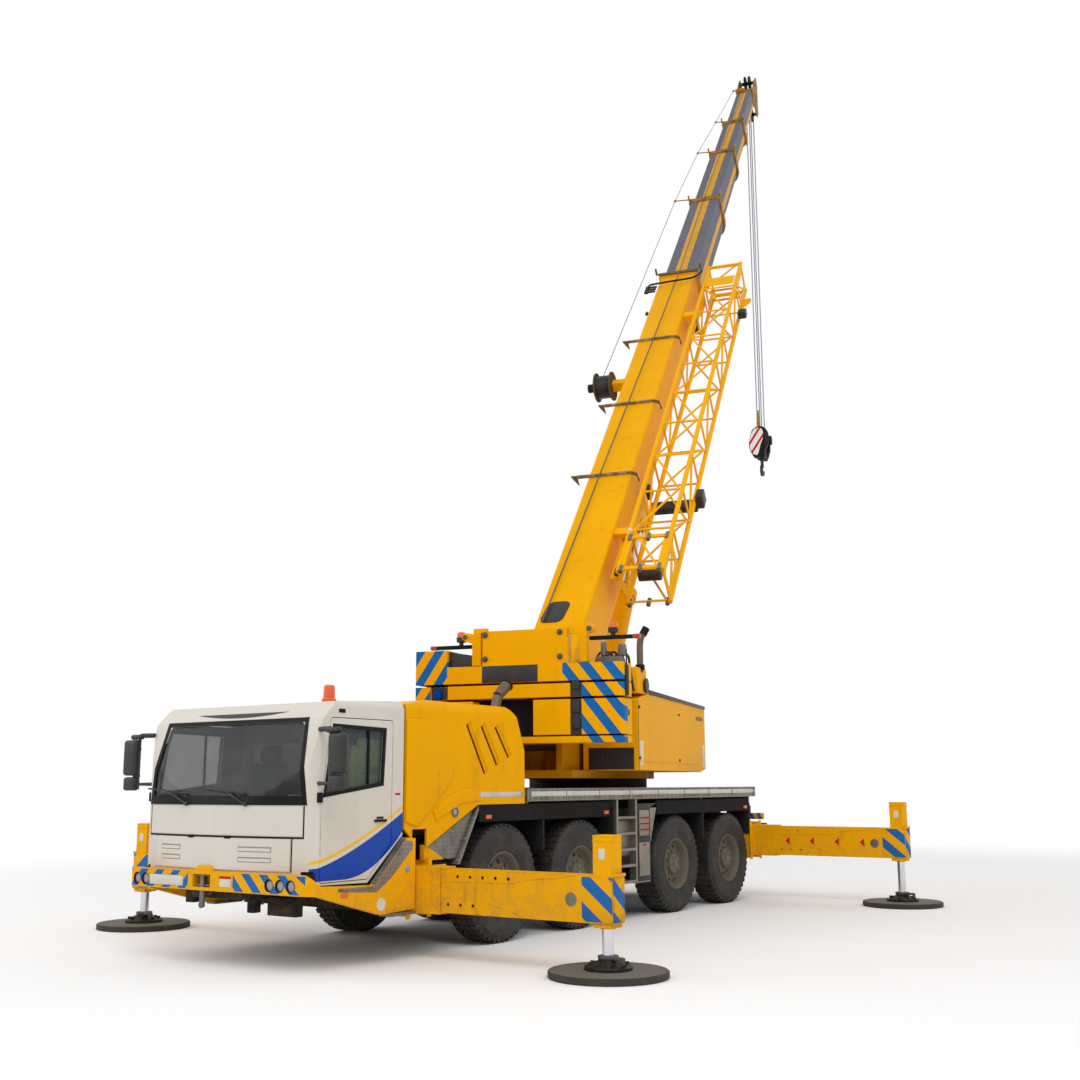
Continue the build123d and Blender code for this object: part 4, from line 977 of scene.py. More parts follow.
@dataclass
class Assembly:
    """A sub-assembly, laid out in one local frame and riding mostly on one body."""

    frame: dict
    place: ClassVar[Matrix] = STANCE.carrier
    body: ClassVar[str] = "carrier"

    def shapes(self, count: int = 1) -> list[Shaper]:
        """Starts several meshes in the assembly's frame."""
        return [Shaper(self.place) for _ in range(count)]

    @contextmanager
    def piece(self, name: str, finish: object, body: Optional[str] = None, slot: Optional[str] = None,
            smooth: float = 34.0, replaces: Sequence[str] = ()) -> Iterator[Shaper]:
        """Opens a piece, and settles it when its shape is built.

        Args:
            name: The piece's name.
            finish: Its finish.
            body: The CAD body that it rides on, where it isn't the assembly's.
            slot: The record's material slot, where it isn't the finish's usual one.
            smooth: Edges flatter than this angle are shaded smooth.
            replaces: CAD nodes that it stands for.

        Yields:
            Where its shape is built.
        """
        shape = Shaper(self.place)
        yield shape
        shape.done(name, body or self.body, finish, slot, smooth, replaces)

    def refine(self, node: str, finish: object, bevel: float = 0.006, segments: int = 2,
            cutters: Optional[Shaper] = None, body: Optional[str] = None,
            slot: Optional[str] = None) -> bpy.types.Object:
        """Stands a merged copy with rounded edges and smooth curves in for a CAD node.

        Args:
            node: The CAD node.
            finish: Its finish.
            bevel: Rounding of its sharp edges.
            segments: Steps in the rounding.
            cutters: What is taken out of it.
            body: The CAD body, where it isn't the assembly's.
            slot: The record's material slot, where it isn't the finish's usual one.

        Returns:
            The piece.
        """
        shape = Shaper(Matrix.Identity(4))
        shape.bm.from_mesh(self.frame["nodes"][node].data)
        bmesh.ops.remove_doubles(shape.bm, verts=shape.bm.verts, dist=2e-5)
        if cutters is not None:
            bmesh.ops.transform(cutters.bm, matrix=cutters.frame, verts=cutters.bm.verts)
            shape = carve(shape, cutters)
        bmesh.ops.dissolve_limit(shape.bm, angle_limit=math.radians(FLAT_ANGLE), verts=shape.bm.verts,
            edges=shape.bm.edges)
        piece = shape.done(node + "_skin", body or self.body, finish, slot, SHARP_ANGLE, (node,))
        rounding = piece.modifiers.new("rounding", "BEVEL")
        rounding.width = bevel
        rounding.segments = segments
        rounding.limit_method = "ANGLE"
        rounding.angle_limit = math.radians(SHARP_ANGLE)
        rounding.use_clamp_overlap = True
        rounding.harden_normals = False
        return piece

    def hose(self, name: str, finish: object, points: Sequence[Point], radius: float,
            slot: Optional[str] = None) -> bpy.types.Object:
        """Makes a smooth pipe, hose or fixed cable along points.

        Args:
            name: The piece's name.
            finish: Its finish.
            points: The line's control points in the local frame.
            radius: Its radius.
            slot: The record's material slot, where it isn't the finish's usual one.

        Returns:
            The piece.
        """
        curve = bpy.data.curves.new(name, "CURVE")
        curve.dimensions = "3D"
        spline = curve.splines.new("NURBS")
        spline.points.add(len(points) - 1)
        for knot, point in zip(spline.points, points):
            knot.co = (*(self.place @ Vector(point)), 1)
        spline.order_u = 3
        spline.use_endpoint_u = True
        spline.resolution_u = 6
        curve.bevel_depth = radius
        curve.bevel_resolution = 2
        curve.use_fill_caps = True
        line = bpy.data.objects.new(name + "_line", curve)
        bpy.context.scene.collection.objects.link(line)
        bpy.context.view_layer.update()
        mesh = bpy.data.meshes.new_from_object(line.evaluated_get(bpy.context.evaluated_depsgraph_get()))
        bpy.data.objects.remove(line)
        mesh.name = name
        return settle(mesh, name, self.body, finish, slot, 60.0)

    def strand(self, name: str, bodies: tuple[str, str], ends: tuple[Point, Point], radius: float, finish: object,
            sides: int = 8) -> bpy.types.Object:
        """Makes a straight rope between two points; it rides on no body and stays as it is when the bodies part.

        Args:
            name: The piece's name.
            bodies: The bodies at its start and its end, which are only named in the log.
            ends: Its two ends in the local frame.
            radius: Its radius.
            finish: Its finish.
            sides: Steps around it.

        Returns:
            The piece.
        """
        shape = Shaper(self.place).rod(*ends, radius, sides)
        piece = dressed(shape.mesh(name), name, finish, 60.0)
        log.info("%s between %s and %s", name, *bodies)
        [tuple(self.place @ Vector(end)) for end in ends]
        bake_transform(piece)
        return piece


# ---------------------------------------------------------------- wheels
@dataclass
class Wheels(Assembly):
    """Eight steered wheels: block-tread tyres on grey disc rims."""

    radius: float = 0.67
    width: float = 0.385
    outer: float = 1.247
    stations: tuple[float, ...] = (3.237, 4.887, 7.382, 9.032)
    rim: float = 0.345
    rows: int = 44
    holes: int = 10

    def tyre(self) -> Shaper:
        """Builds a tyre, its outer face at x = 0 and its axle along x."""
        r, w = self.radius, self.width
        half = [(self.rim, 0.028), (0.353, 0.02), (0.368, 0.016), (0.372, 0.011), (0.398, 0.009), (0.402, 0.013),
            (0.43, 0.006), (0.475, 0.002), (0.52, 0.0), (0.56, 0.003), (0.566, 0.0), (0.58, 0.0), (0.586, 0.006),
            (0.612, 0.014), (r - 0.035, 0.03), (r - 0.022, 0.044), (r - 0.016, 0.066)]
        profile = half + [(a, w - h) for a, h in reversed(half)] + [half[0]]
        made = Shaper(Matrix.Identity(4)).lathe(profile, (0, 0, 0), (-1, 0, 0), 72)
        block = Shaper(Matrix.Identity(4))
        pitch = 2 * math.pi / self.rows
        length = r * pitch * 0.66
        for offset, wide, skew in ((0.073, 0.062, 0.0), (0.15, 0.055, 0.35), (0.235, 0.055, -0.35),
                (0.312, 0.062, 0.0)):
            block.box((-offset, 0, r - 0.0105), (wide, length, 0.018), 0.0, Matrix.Rotation(skew, 4, "Z"))
        for offset, tip in ((0.04, 0.034), (w - 0.04, w - 0.034)):
            block.box((-offset, length * 0.2, r - 0.026), (abs(tip - offset) + 0.022, length * 0.8, 0.03), 0.0)
        made.copies(block, [Matrix.Rotation(pitch * i, 4, "X") for i in range(self.rows)])
        return made

    def disc(self) -> Shaper:
        """Builds a rim with its hand holes, in the same place."""
        profile = [(0.352, 0.016), (0.345, 0.01), (0.336, 0.012), (0.331, 0.024), (0.322, 0.034), (0.312, 0.06),
            (0.3, 0.118), (0.286, 0.13), (0.262, 0.124), (0.236, 0.112), (0.205, 0.1), (0.18, 0.097), (0.15, 0.097),
            (0.142, 0.088), (0.138, 0.058), (0.13, 0.048), (0.04, 0.046), (0.0, 0.046)]
        back = [(0.0, 0.2), (0.2, 0.2), (0.28, 0.16), (0.318, 0.1), (0.345, 0.05), (0.352, 0.016)]
        shell = Shaper(Matrix.Identity(4)).lathe(profile + back, (0, 0, 0), (-1, 0, 0), 60)
        drill = Shaper(Matrix.Identity(4))
        for i in range(self.holes):
            angle = 2 * math.pi * (i + 0.5) / self.holes
            y, z = 0.238 * math.sin(angle), 0.238 * math.cos(angle)
            drill.rod((-0.04, y, z), (-0.15, y, z), 0.03, 16)
        return carve(shell, drill)

    def nuts(self) -> Shaper:
        """Builds the wheel nuts and the hub's cover bolts."""
        made = Shaper(Matrix.Identity(4))
        for count, reach, size, depth in ((10, 0.166, 0.015, 0.097), (6, 0.098, 0.008, 0.047)):
            for i in range(count):
                angle = 2 * math.pi * i / count
                y, z = reach * math.sin(angle), reach * math.cos(angle)
                made.rod((-depth - 0.002, y, z), (-depth + 0.022, y, z), size, 6, size * 0.8)
        made.rod((-0.048, 0, 0), (-0.036, 0, 0), 0.045, 20, bevel=0.003)
        return made

    def build(self) -> None:
        """Builds all eight wheels."""
        parts = [("tyre", self.tyre(), Dress.TYRE), ("rim", self.disc(), Dress.RIM_GREY),
            ("nuts", self.nuts(), Dress.STEEL)]
        for kind, shape, finish in parts:
            for axle, place in enumerate(self.stations, 1):
                for side, name in ((1, "left"), (-1, "right")):
                    node = f"wheel_{axle}_{name}"
                    spot = Matrix.Translation((side * self.outer, place, self.radius))
                    turn = Matrix.Rotation(0.0 if side > 0 else math.pi, 4, "Z")
                    with self.piece(f"{kind}_{axle}_{name}", finish, node, slot="wheel", smooth=30,
                            replaces=(node,) if kind == "tyre" else ()) as made:
                        made.copies(shape, [spot @ turn @ Matrix.Rotation(0.21 * axle, 4, "X")])
            shape.bm.free()


# ---------------------------------------------------------------- outriggers
@dataclass
class Outriggers(Assembly):
    """Four two-stage beams with their jacks, floats and mats."""

    beam_end: float = 3.71
    half_width: float = 0.11
    jack_inset: float = 0.125
    mat_radius: float = 0.575
    bays: tuple = (("front_left", 1, 1.717, 0.71), ("front_right", -1, 2.017, 0.71), ("rear_left", 1, 9.96, 0.905),
        ("rear_right", -1, 10.26, 0.905))

    def beam(self, name: str, side: int, bay: float, mid: float) -> None:
        """Dresses one beam with its flanges, rivets, stripes and reflector.

        Args:
            name: Which beam it is.
            side: -1 on the left and 1 on the right.
            bay: The station of its middle.
            mid: The height of its middle.
        """
        body = f"outrigger_beam_{name}"
        self.refine(body, Dress.BEAM_YELLOW, 0.008, body=body)
        sleeve = f"outrigger_sleeve_{name}"
        self.refine(sleeve, Dress.BEAM_YELLOW, 0.004, body=sleeve)
        faces = (-1, 1)
        with self.piece(f"beam_trim_{name}", Dress.BEAM_YELLOW, body) as trim:
            for face in faces:
                y = bay + face * self.half_width
                for i in range(5):
                    x = side * (1.86 + 0.16 * i)
                    trim.rod((x, y - face * 0.002, mid + 0.15), (x, y + face * 0.004, mid + 0.15), 0.022, 14, 0.016)
                for i in range(3):
                    x = side * (1.74 + 0.16 * i)
                    trim.rod((x, y - face * 0.002, mid - 0.13), (x, y + face * 0.004, mid - 0.13), 0.022, 14, 0.016)
                outline = [(side * a, mid + b) for a, b in ((1.66, 0.215), (3.3, 0.215), (3.05, 0.175), (2.75, 0.15),
                    (2.55, 0.105), (1.66, 0.09))]
                trim.prism(outline, Side.FRONT, y, y + face * 0.004, 0.0015, 1)
                outline = [(side * a, mid + b) for a, b in ((1.66, -0.215), (2.7, -0.215), (2.55, -0.165),
                    (2.15, -0.075), (1.8, -0.062), (1.66, -0.075))]
                trim.prism(outline, Side.FRONT, y, y + face * 0.004, 0.0015, 1)
            end = side * self.beam_end
            trim.box((end - side * 0.006, bay, mid + 0.225), (0.03, 0.24, 0.03), 0.004)
        blue = Paint(f"beam_stripes_{name}", SIGNAL_YELLOW, dirt=0.25, wear=0.5,
            pattern=stripes((side * 0.62, 0, 0.78), 0.235, BLUE, -0.04))
        with self.piece(f"beam_end_stripes_{name}", blue, body) as plate:
            for face in faces:
                y = bay + face * self.half_width
                plate.box((side * 3.535, y + face * 0.002, mid), (0.34, 0.004, 0.41), 0.001)
        cap_stripes = Paint(f"beam_cap_stripes_{name}", SIGNAL_YELLOW, dirt=0.25, wear=0.5,
            pattern=stripes((0, 0.62, 0.78), 0.235, BLUE, 0.06))
        with self.piece(f"beam_cap_{name}", cap_stripes, body) as cap:
            cap.box((end - side * 0.001, bay, mid), (0.003, 0.215, 0.42), 0.001)
        with self.piece(f"beam_reflector_{name}", Dress.STEEL, body) as disc:
            for face in faces:
                y = bay + face * self.half_width
                disc.lathe([(0, 0.004), (0.058, 0.004), (0.064, 0.0028), (0.066, 0.0), (0, 0)],
                    (side * 3.24, y, mid - 0.01), (0, face, 0), 32)
        if name.startswith("rear"):
            with self.piece(f"beam_arrows_{name}", Dress.RED, body) as arrows:
                for face in faces:
                    y = bay + face * self.half_width
                    for i in range(4):
                        x = 1.86 + 0.4 * i
                        outline = [(side * (x - 0.05), mid), (side * (x + 0.02), mid + 0.06),
                            (side * (x + 0.02), mid - 0.06)]
                        arrows.prism(outline, Side.FRONT, y + face * 0.0005, y + face * 0.0035, 0.0)

    def jack(self, name: str, side: int, bay: float, mid: float) -> None:
        """Builds one jack: its tube's cap and bands, its rod, collar and float.

        Args:
            name: Which jack it is.
            side: -1 on the left and 1 on the right.
            bay: The station of its middle.
            mid: The height of its beam's middle.
        """
        x = side * (self.beam_end - self.jack_inset)
        beam, jack = f"outrigger_beam_{name}", f"jack_{name}"
        top = mid + 0.59
        with self.piece(f"jack_tube_trim_{name}", Dress.BEAM_YELLOW, beam) as tube:
            tube.box((x, bay, top - 0.004), (0.206, 0.206, 0.02), 0.006)
            tube.box((x, bay, top - 0.05), (0.208, 0.208, 0.012), 0.003)
            tube.rod((x, bay, mid - 0.25), (x, bay, mid - 0.268), 0.078, 28, bevel=0.004)
            tube.rod((x - side * 0.06, bay - 0.05, top), (x - side * 0.06, bay - 0.05, top + 0.005), 0.02, 12)
        with self.piece(f"jack_notice_{name}", Dress.PLATE, beam, slot="crane_yellow") as notice:
            notice.box((x, bay - 0.1015, top - 0.17), (0.07, 0.003, 0.1), 0.001)
        with self.piece(f"jack_rod_{name}", Dress.CHROME, jack, replaces=(jack,)) as rod:
            rod.rod((x, bay, 0.19), (x, bay, mid + 0.1), 0.055, 40)
        floor = 0.0705
        with self.piece(f"jack_float_{name}", Dress.TRIM, jack, slot="chrome") as pad:
            pad.lathe([(0, 0), (0.225, 0), (0.23, 0.006), (0.23, 0.026), (0.222, 0.034), (0.165, 0.048),
                (0.115, 0.072), (0.095, 0.09), (0.092, 0.118), (0.07, 0.122), (0, 0.122)], (x, bay, floor), (0, 0, 1),
                48)
            for i in range(8):
                angle = i * math.pi / 4
                y, dx = 0.15 * math.sin(angle), 0.15 * math.cos(angle)
                pad.box((x + dx, bay + y, floor + 0.05), (0.1, 0.012, 0.04), 0.003, Matrix.Rotation(angle, 4, "Z"))
        with self.piece(f"jack_lock_{name}", Dress.CAST, jack, slot="chrome") as lock:
            lock.rod((x, bay, floor + 0.098), (x, bay, floor + 0.128), 0.1, 24, bevel=0.004)
            lock.box((x + 0.085, bay - 0.05, floor + 0.11), (0.22, 0.05, 0.03), 0.006)
            lock.box((x + 0.19, bay - 0.05, floor + 0.085), (0.03, 0.05, 0.07), 0.005)

    def mats(self) -> None:
        """Builds the four round mats with their worn rims and rope handles."""
        tops, rims = self.shapes(2)
        for _, side, bay, _ in self.bays:
            x = side * (self.beam_end - self.jack_inset)
            r = self.mat_radius
            tops.lathe([(0, 0.066), (r - 0.012, 0.066), (r - 0.012, 0.068), (r - 0.03, 0.0698), (0, 0.0698)],
                (x, bay, 0), (0, 0, 1), 72)
            rims.lathe([(0, 0.001), (r - 0.008, 0.001), (r - 0.001, 0.008), (r - 0.001, 0.058), (r - 0.01, 0.067),
                (0, 0.067)], (x, bay, 0), (0, 0, 1), 72)
            for turn in (0.6, 3.6):
                y, dx = math.sin(turn) * (r - 0.05), math.cos(turn) * (r - 0.05)
                for shift in (-0.06, 0.06):
                    rims.rod((x + dx + shift * math.sin(turn), bay + y - shift * math.cos(turn), 0.06),
                        (x + dx + shift * math.sin(turn), bay + y - shift * math.cos(turn), 0.0703), 0.016, 12)
        tops.done("mat_tops", "carrier", Dress.MAT, "mat_black", replaces=("ground_mats",))
        rims.done("mat_rims", "carrier", Dress.MAT_EDGE, "mat_black")

    def build(self) -> None:
        """Builds all four outriggers."""
        for name, side, bay, mid in self.bays:
            self.beam(name, side, bay, mid)
            self.jack(name, side, bay, mid)
        self.mats()


# ---------------------------------------------------------------- cab
def cab_livery(g: Graph, base: object) -> object:
    """Gives the cab's white with a blue sweep and a thin yellow line low on both sides.

    Args:
        g: The graph that it is added to.
        base: The plain colour.

    Returns:
        The colour.
    """
    y, z = g.along((0, 1, 0), -STANCE.front), g.along((0, 0, 1))
    side = abs(g.along((1, 0, 0))) > 1.19
    past = g.most(y - 0.57, 0.0)
    low = past * past * 0.575 + 0.87
    share = g.most((y - 0.12) / 1.36, 0.0)
    high = share ** 1.4 * 0.54 + 0.985
    sweep = g.every(side, z > low, z < high)
    over = z - high
    line = g.every(side, over > 0.04, over < 0.072)
    x = g.along((1, 0, 0))
    lean = g.most(z - 1.6, 0.0) * 0.235
    bow = x * x * 0.08
    depth = y - lean - bow
    inside = g.every(abs(x) < 1.213, g.within(depth, 0.075, 1.4), g.within(z, 1.0, 2.52))
    return g.mix(inside, g.mix(line, g.mix(sweep, base, DEEP_BLUE), srgb(240, 190, 20)), srgb(44, 44, 46))


def bumper_livery(g: Graph, base: object) -> object:
    """Gives the bumper's yellow with blue chevrons across its face.

    Args:
        g: The graph that it is added to.
        base: The plain colour.

    Returns:
        The colour.
    """
    y, z = g.along((0, 1, 0), -STANCE.front), g.along((0, 0, 1))
    side = abs(g.along((1, 0, 0)))
    phase = ((side + z) / 0.25).fract()
    zone = g.every(y < 0.03, z < 0.935, z > 0.76, side > 0.33, phase > 0.52)
    return g.mix(zone, base, BLUE)


@dataclass
class Cab(Assembly):
    """The carrier's cab with its bumper, mirrors and furniture."""

    half: float = 1.25
    bow: float = 0.11
    reach: float = 1.175
    lamps: tuple[float, ...] = (0.84, 0.985, 1.13, -1.0, -1.13)

    def face(self, x: float, z: float) -> float:
        """Gives the station of the cab's front at a place on it.

        Args:
            x: How far to the side.
            z: How high.

        Returns:
            The station.
        """
        upright = 0.03 + 0.015 * (z - 0.95) / 0.65 if z < 1.6 else 0.045 + 0.235 * (z - 1.6)
        return max(upright, 0.03 + self.bow * (x / self.reach) ** 2)

    def shield(self, shape: Shaper, across: Point, rise: Point, lift: float, depth: float) -> None:
        """Adds a piece of sheet that follows the windscreen.

        Args:
            shape: Where it is added.
            across: Its edges as shares of the half width, from the middle.
            rise: Its edges as shares of the height.
            lift: How far it stands ahead of the cab's face.
            depth: Its thickness.
        """
        cols = max(2, int(24 * (across[1] - across[0])))
        rows = max(2, int(12 * (rise[1] - rise[0])))
        grid = []
        for i in range(rows + 1):
            t = rise[0] + (rise[1] - rise[0]) * i / rows
            z = 1.592 + 0.856 * t
            half = 1.165 - 0.11 * t
            line = []
            for j in range(cols + 1):
                x = (across[0] + (across[1] - across[0]) * j / cols) * half
                line.append((x, self.face(x, z) - lift, z))
            grid.append(line)
        shape.skin(grid, (0, depth, 0))

    def panel(self, shape: Shaper, across: Point, rise: Point, lift: float, depth: float) -> None:
        """Adds a piece of sheet on the bowed front below the windscreen.

        Args:
            shape: Where it is added.
            across: Its edges to the left and right.
            rise: Its heights.
            lift: How far it stands ahead of the cab's face.
            depth: Its thickness.
        """
        cols = max(1, int(14 * (across[1] - across[0])))
        grid = [[(x, self.face(x, z) - lift, z) for x in (
            across[0] + (across[1] - across[0]) * j / cols for j in range(cols + 1))] for z in rise]
        shape.skin(grid, (0, depth, 0))

    def front(self) -> None:
        """Builds the windscreen with its black surround, wipers, panel joints and grille."""
        with self.piece("windscreen", Dress.SCREEN) as glass:
            self.shield(glass, (-0.985, 0.985), (0.05, 0.985), -0.01, 0.006)
        with self.piece("windscreen_surround", Dress.TRIM) as rim:
            self.shield(rim, (-1, 1), (0, 0.105), 0.006, 0.02)
            self.shield(rim, (-1, 1), (0.945, 1), 0.006, 0.02)
            self.shield(rim, (-1, -0.955), (0.1, 0.95), 0.006, 0.02)
            self.shield(rim, (0.955, 1), (0.1, 0.95), 0.006, 0.02)
        with self.piece("wipers", Dress.MOULDED) as wipers:
            for x in (-0.46, 0.42):
                wipers.rod((x, 0.03, 1.6), (x, 0.012, 1.6), 0.022, 16, bevel=0.003)
                wipers.rod((x, 0.018, 1.6), (x - 0.34, 0.04, 1.735), 0.007, 8)
                wipers.rod((x - 0.05, 0.06, 1.7), (x - 0.68, 0.075, 1.755), 0.006, 6)
                wipers.box((x - 0.35, 0.056, 1.728), (0.62, 0.01, 0.018), 0.002, Matrix.Rotation(0.087, 4, "Y"))
        with self.piece("front_panels", Dress.CAB_WHITE, smooth=50) as skin:
            self.panel(skin, (-0.99, 0.99), (0.962, 1.1, 1.268), 0.014, 0.02)
            self.panel(skin, (-1.12, 1.12), (1.298, 1.45, 1.58), 0.006, 0.014)
        with self.piece("grille_slots", Dress.SLOT_GREY, smooth=50) as pressed:
            for low, high in ((-0.88, -0.54), (0.34, 0.77)):
                for z in (1.165, 1.065):
                    self.panel(pressed, (low, high), (z - 0.026, z + 0.026), 0.015, 0.004)
        with self.piece("grille_bars", Dress.CAB_WHITE, smooth=50) as lips:
            for low, high in ((-0.87, -0.55), (0.35, 0.76)):
                for z in (1.165, 1.065):
                    self.panel(lips, (low, high), (z - 0.018, z + 0.012), 0.019, 0.005)
        with self.piece("front_seams", Dress.TRIM, smooth=50) as seams:
            for low, high in ((-1.14, 1.14),):
                self.panel(seams, (low, high), (1.272, 1.29), 0.0025, 0.004)
            for x in (-0.37, 0.18):
                self.panel(seams, (x - 0.045, x + 0.045), (1.262, 1.284), 0.017, 0.006)
            for side in (-1, 1):
                self.panel(seams, tuple(sorted((side * 0.996, side * 1.008))), (0.955, 1.29), 0.003, 0.005)
                self.panel(seams, tuple(sorted((side * 1.126, side * 1.14))), (1.29, 1.585), 0.0025, 0.004)

    def doors(self) -> None:
        """Builds the doors with their glass, rubber surrounds, handles and hinges."""
        livery = Paint("cab_livery", WHITE, roughness=0.3, coat=0.05, dirt=0.12, specular=0.2, pattern=cab_livery)
        self.refine("carrier_cab", livery, 0.018, 3, slot="cab_white")
        for side, name in ((1, "left"), (-1, "right")):
            body = f"cab_door_{name}"
            self.refine(body, livery, 0.007, body=body, slot="cab_white")
            with self.piece(f"door_glass_{name}", Dress.GLASS, body) as pane:
                grown = [(0.275, 1.676), (0.384, 2.375), (1.155, 2.354), (1.124, 1.788)]
                pane.prism(grown, Side.SIDE, side * 1.222, side * 1.228, 0.0)
            outer = Shaper(self.place)
            outer.prism([(0.262, 1.664), (0.376, 2.386), (1.168, 2.366), (1.136, 1.776)], Side.SIDE, side * 1.238,
                side * 1.2555, 0.004)
            inner = Shaper(self.place)
            inner.prism([(0.3, 1.704), (0.404, 2.35), (1.13, 2.33), (1.1, 1.81)], Side.SIDE, side * 1.2, side * 1.3,
                0.0)
            rim = carve(outer, inner)
            rim.box((side * 1.24, 0.905, 2.07), (0.024, 0.022, 0.56), 0.003)
            rim.done(f"door_surround_{name}", body, Dress.TRIM, "moulded_black")
            with self.piece(f"door_handle_{name}", Dress.TRIM, body) as handle:
                handle.box((side * 1.262, 1.09, 1.425), (0.022, 0.18, 0.026), 0.008)
                handle.box((side * 1.252, 1.09, 1.455), (0.006, 0.1, 0.02), 0.002)
            with self.piece(f"cab_side_trim_{name}", Dress.TRIM) as seal:
                seal.box((side * 1.232, 1.4405, 1.95), (0.03, 0.006, 1.3), 0.001)
                seal.box((side * 1.252, 0.5, 2.515), (0.012, 0.09, 0.038), 0.004)
                seal.box((side * 1.258, 0.215, 1.665), (0.045, 0.05, 0.1), 0.01)
            with self.piece(f"cab_notice_{name}", Dress.PLATE) as notice:
                notice.box((side * 1.2512, 1.355, 1.62), (0.003, 0.075, 0.13), 0.0)
            with self.piece(f"cab_notice_band_{name}", Dress.RED, slot="cab_white") as band:
                band.box((side * 1.252, 1.355, 1.69), (0.003, 0.075, 0.022), 0.0)

    def mirrors(self) -> None:
        """Builds both mirror sets on their swan-neck arms."""
        shells, glasses = self.shapes(2)
        for side in (-1, 1):
            shells.box((side * 1.545, 0.15, 2.085), (0.215, 0.088, 0.385), 0.035, segments=4)
            shells.box((side * 1.54, 0.15, 1.805), (0.195, 0.08, 0.145), 0.03, segments=4)
            shells.rod((side * 1.435, 0.16, 1.745), (side * 1.435, 0.16, 2.3), 0.016, 14)
            shells.rod((side * 1.244, 0.205, 1.8), (side * 1.435, 0.165, 1.8), 0.02, 14, 0.015)
            shells.box((side * 1.335, 0.185, 2.322), (0.2, 0.06, 0.05), 0.022, Matrix.Rotation(-side * 0.22, 4, "Z"),
                4)
            shells.box((side * 1.475, 0.158, 2.308), (0.18, 0.066, 0.055), 0.026, segments=4)
            for z in (1.89, 2.18):
                shells.rod((side * 1.425, 0.16, z), (side * 1.5, 0.15, z), 0.02, 12)
            glasses.box((side * 1.545, 0.1965, 2.085), (0.17, 0.003, 0.335), 0.001)
            glasses.box((side * 1.54, 0.1915, 1.805), (0.155, 0.003, 0.11), 0.001)
        shells.done("mirror_shells", "carrier", Dress.MOULDED, "moulded_black", replaces=("cab_mirrors",))
        glasses.done("mirror_glasses", "carrier", Dress.MIRROR)

    def bumper(self) -> None:
        """Builds the bumper with its recessed lamps, towing jaw, plate and treads."""
        holes = Shaper(self.place)
        for x in self.lamps:
            holes.rod((x, -0.05, 0.835), (x, 0.045, 0.835), 0.062, 32)
        holes.box((-0.67, -0.02, 0.835), (0.53, 0.012, 0.11), 0.0)
        holes.box((-0.13, 0.03, 0.845), (0.26, 0.16, 0.125), 0.0)
        holes.box((0.22, -0.02, 0.845), (0.17, 0.008, 0.11), 0.0)
        livery = Paint("bumper_yellow", SIGNAL_YELLOW, dirt=0.4, wear=0.5, pattern=bumper_livery)
        self.refine("front_bumper", livery, 0.01, 3, holes)
        bezel, lens = self.shapes(2)
        for x in self.lamps:
            bezel.lathe([(0.0, -0.045), (0.052, -0.045), (0.054, 0.004), (0.0605, 0.004), (0.0605, -0.046),
                (0.0, -0.046)], (x, -0.014, 0.835), (0, -1, 0), 32)
            lens.lathe([(0.0, -0.004), (0.03, -0.006), (0.051, -0.014), (0.051, -0.03), (0.0, -0.03)],
                (x, -0.014, 0.835), (0, -1, 0), 32)
        bezel.done("lamp_bezels", "carrier", Dress.TRIM, "moulded_black")
        lens.done("head_lamps", "carrier", Dress.CLEAR)
        with self.piece("bumper_plates", Dress.PLATE) as plate:
            plate.box((-0.67, -0.016, 0.835), (0.52, 0.004, 0.1), 0.001)
            plate.box((0.22, -0.0178, 0.845), (0.16, 0.002, 0.1), 0.0)
        with self.piece("jaw_hood", Dress.YELLOW) as jaw:
            jaw.prism([(-0.26, 0.925), (0.03, 0.925), (-0.02, 0.995), (-0.21, 0.995)], Side.FRONT, -0.012, 0.028,
                0.006)
        with self.piece("towing_jaw", Dress.STEEL) as steel:
            steel.box((-0.13, 0.004, 0.75), (0.055, 0.034, 0.33), 0.006)
            steel.rod((-0.13, 0.03, 0.79), (-0.13, 0.03, 0.93), 0.024, 16)
            for z in (0.8, 0.895):
                steel.box((-0.13, 0.05, z), (0.2, 0.1, 0.022), 0.008)
            steel.rod((-0.17, -0.004, 0.905), (-0.05, -0.004, 0.905), 0.01, 10)
            steel.lathe([(0.022, -0.008), (0.034, -0.008), (0.034, 0.008), (0.022, 0.008), (0.022, -0.008)],
                (-0.13, -0.006, 0.61), (0, 1, 0), 24)
        for i, points in enumerate(([(-0.27, 0.02, 0.9), (-0.3, -0.004, 0.84), (-0.27, -0.006, 0.72),
                (-0.2, 0.01, 0.7), (-0.17, 0.03, 0.8)], [(-0.01, 0.02, 0.89), (0.03, -0.004, 0.83),
                (0.02, -0.006, 0.73), (-0.04, 0.01, 0.71), (-0.07, 0.03, 0.78)])):
            self.hose(f"jaw_hose_{i}", Dress.HOSE, points, 0.009)
        with self.piece("bumper_underside", Dress.CHASSIS) as dark:
            for x, wide, z in ((-0.62, 0.12, 0.68), (0.3, 0.1, 0.62), (0.74, 0.4, 0.61)):
                dark.box((x, 0.3, z), (wide, 0.1, 0.18), 0.01)
            dark.prism([(0.16, 0.775), (0.16, 0.945), (0.2, 0.945), (0.2, 0.775)], Side.SIDE, -1.24, 1.24, 0.0)
        with self.piece("bumper_treads", Dress.TREAD_PLATE) as tread:
            outline = [(0.42, 0.795), (0.93, 0.79), (0.955, 0.8), (1.4, 1.215), (1.515, 1.205), (1.515, 1.13),
                (1.2, 0.865), (0.97, 0.725), (0.42, 0.765)]
            for side in (-1, 1):
                tread.prism(outline, Side.SIDE, side * 1.329, side * 1.3335, 0.001, 1)
                tread.box((side * 1.292, 1.19, 1.028), (0.07, 0.64, 0.004), 0.0,
                    Matrix.Rotation(math.atan2(0.45, 0.48), 4, "X"))
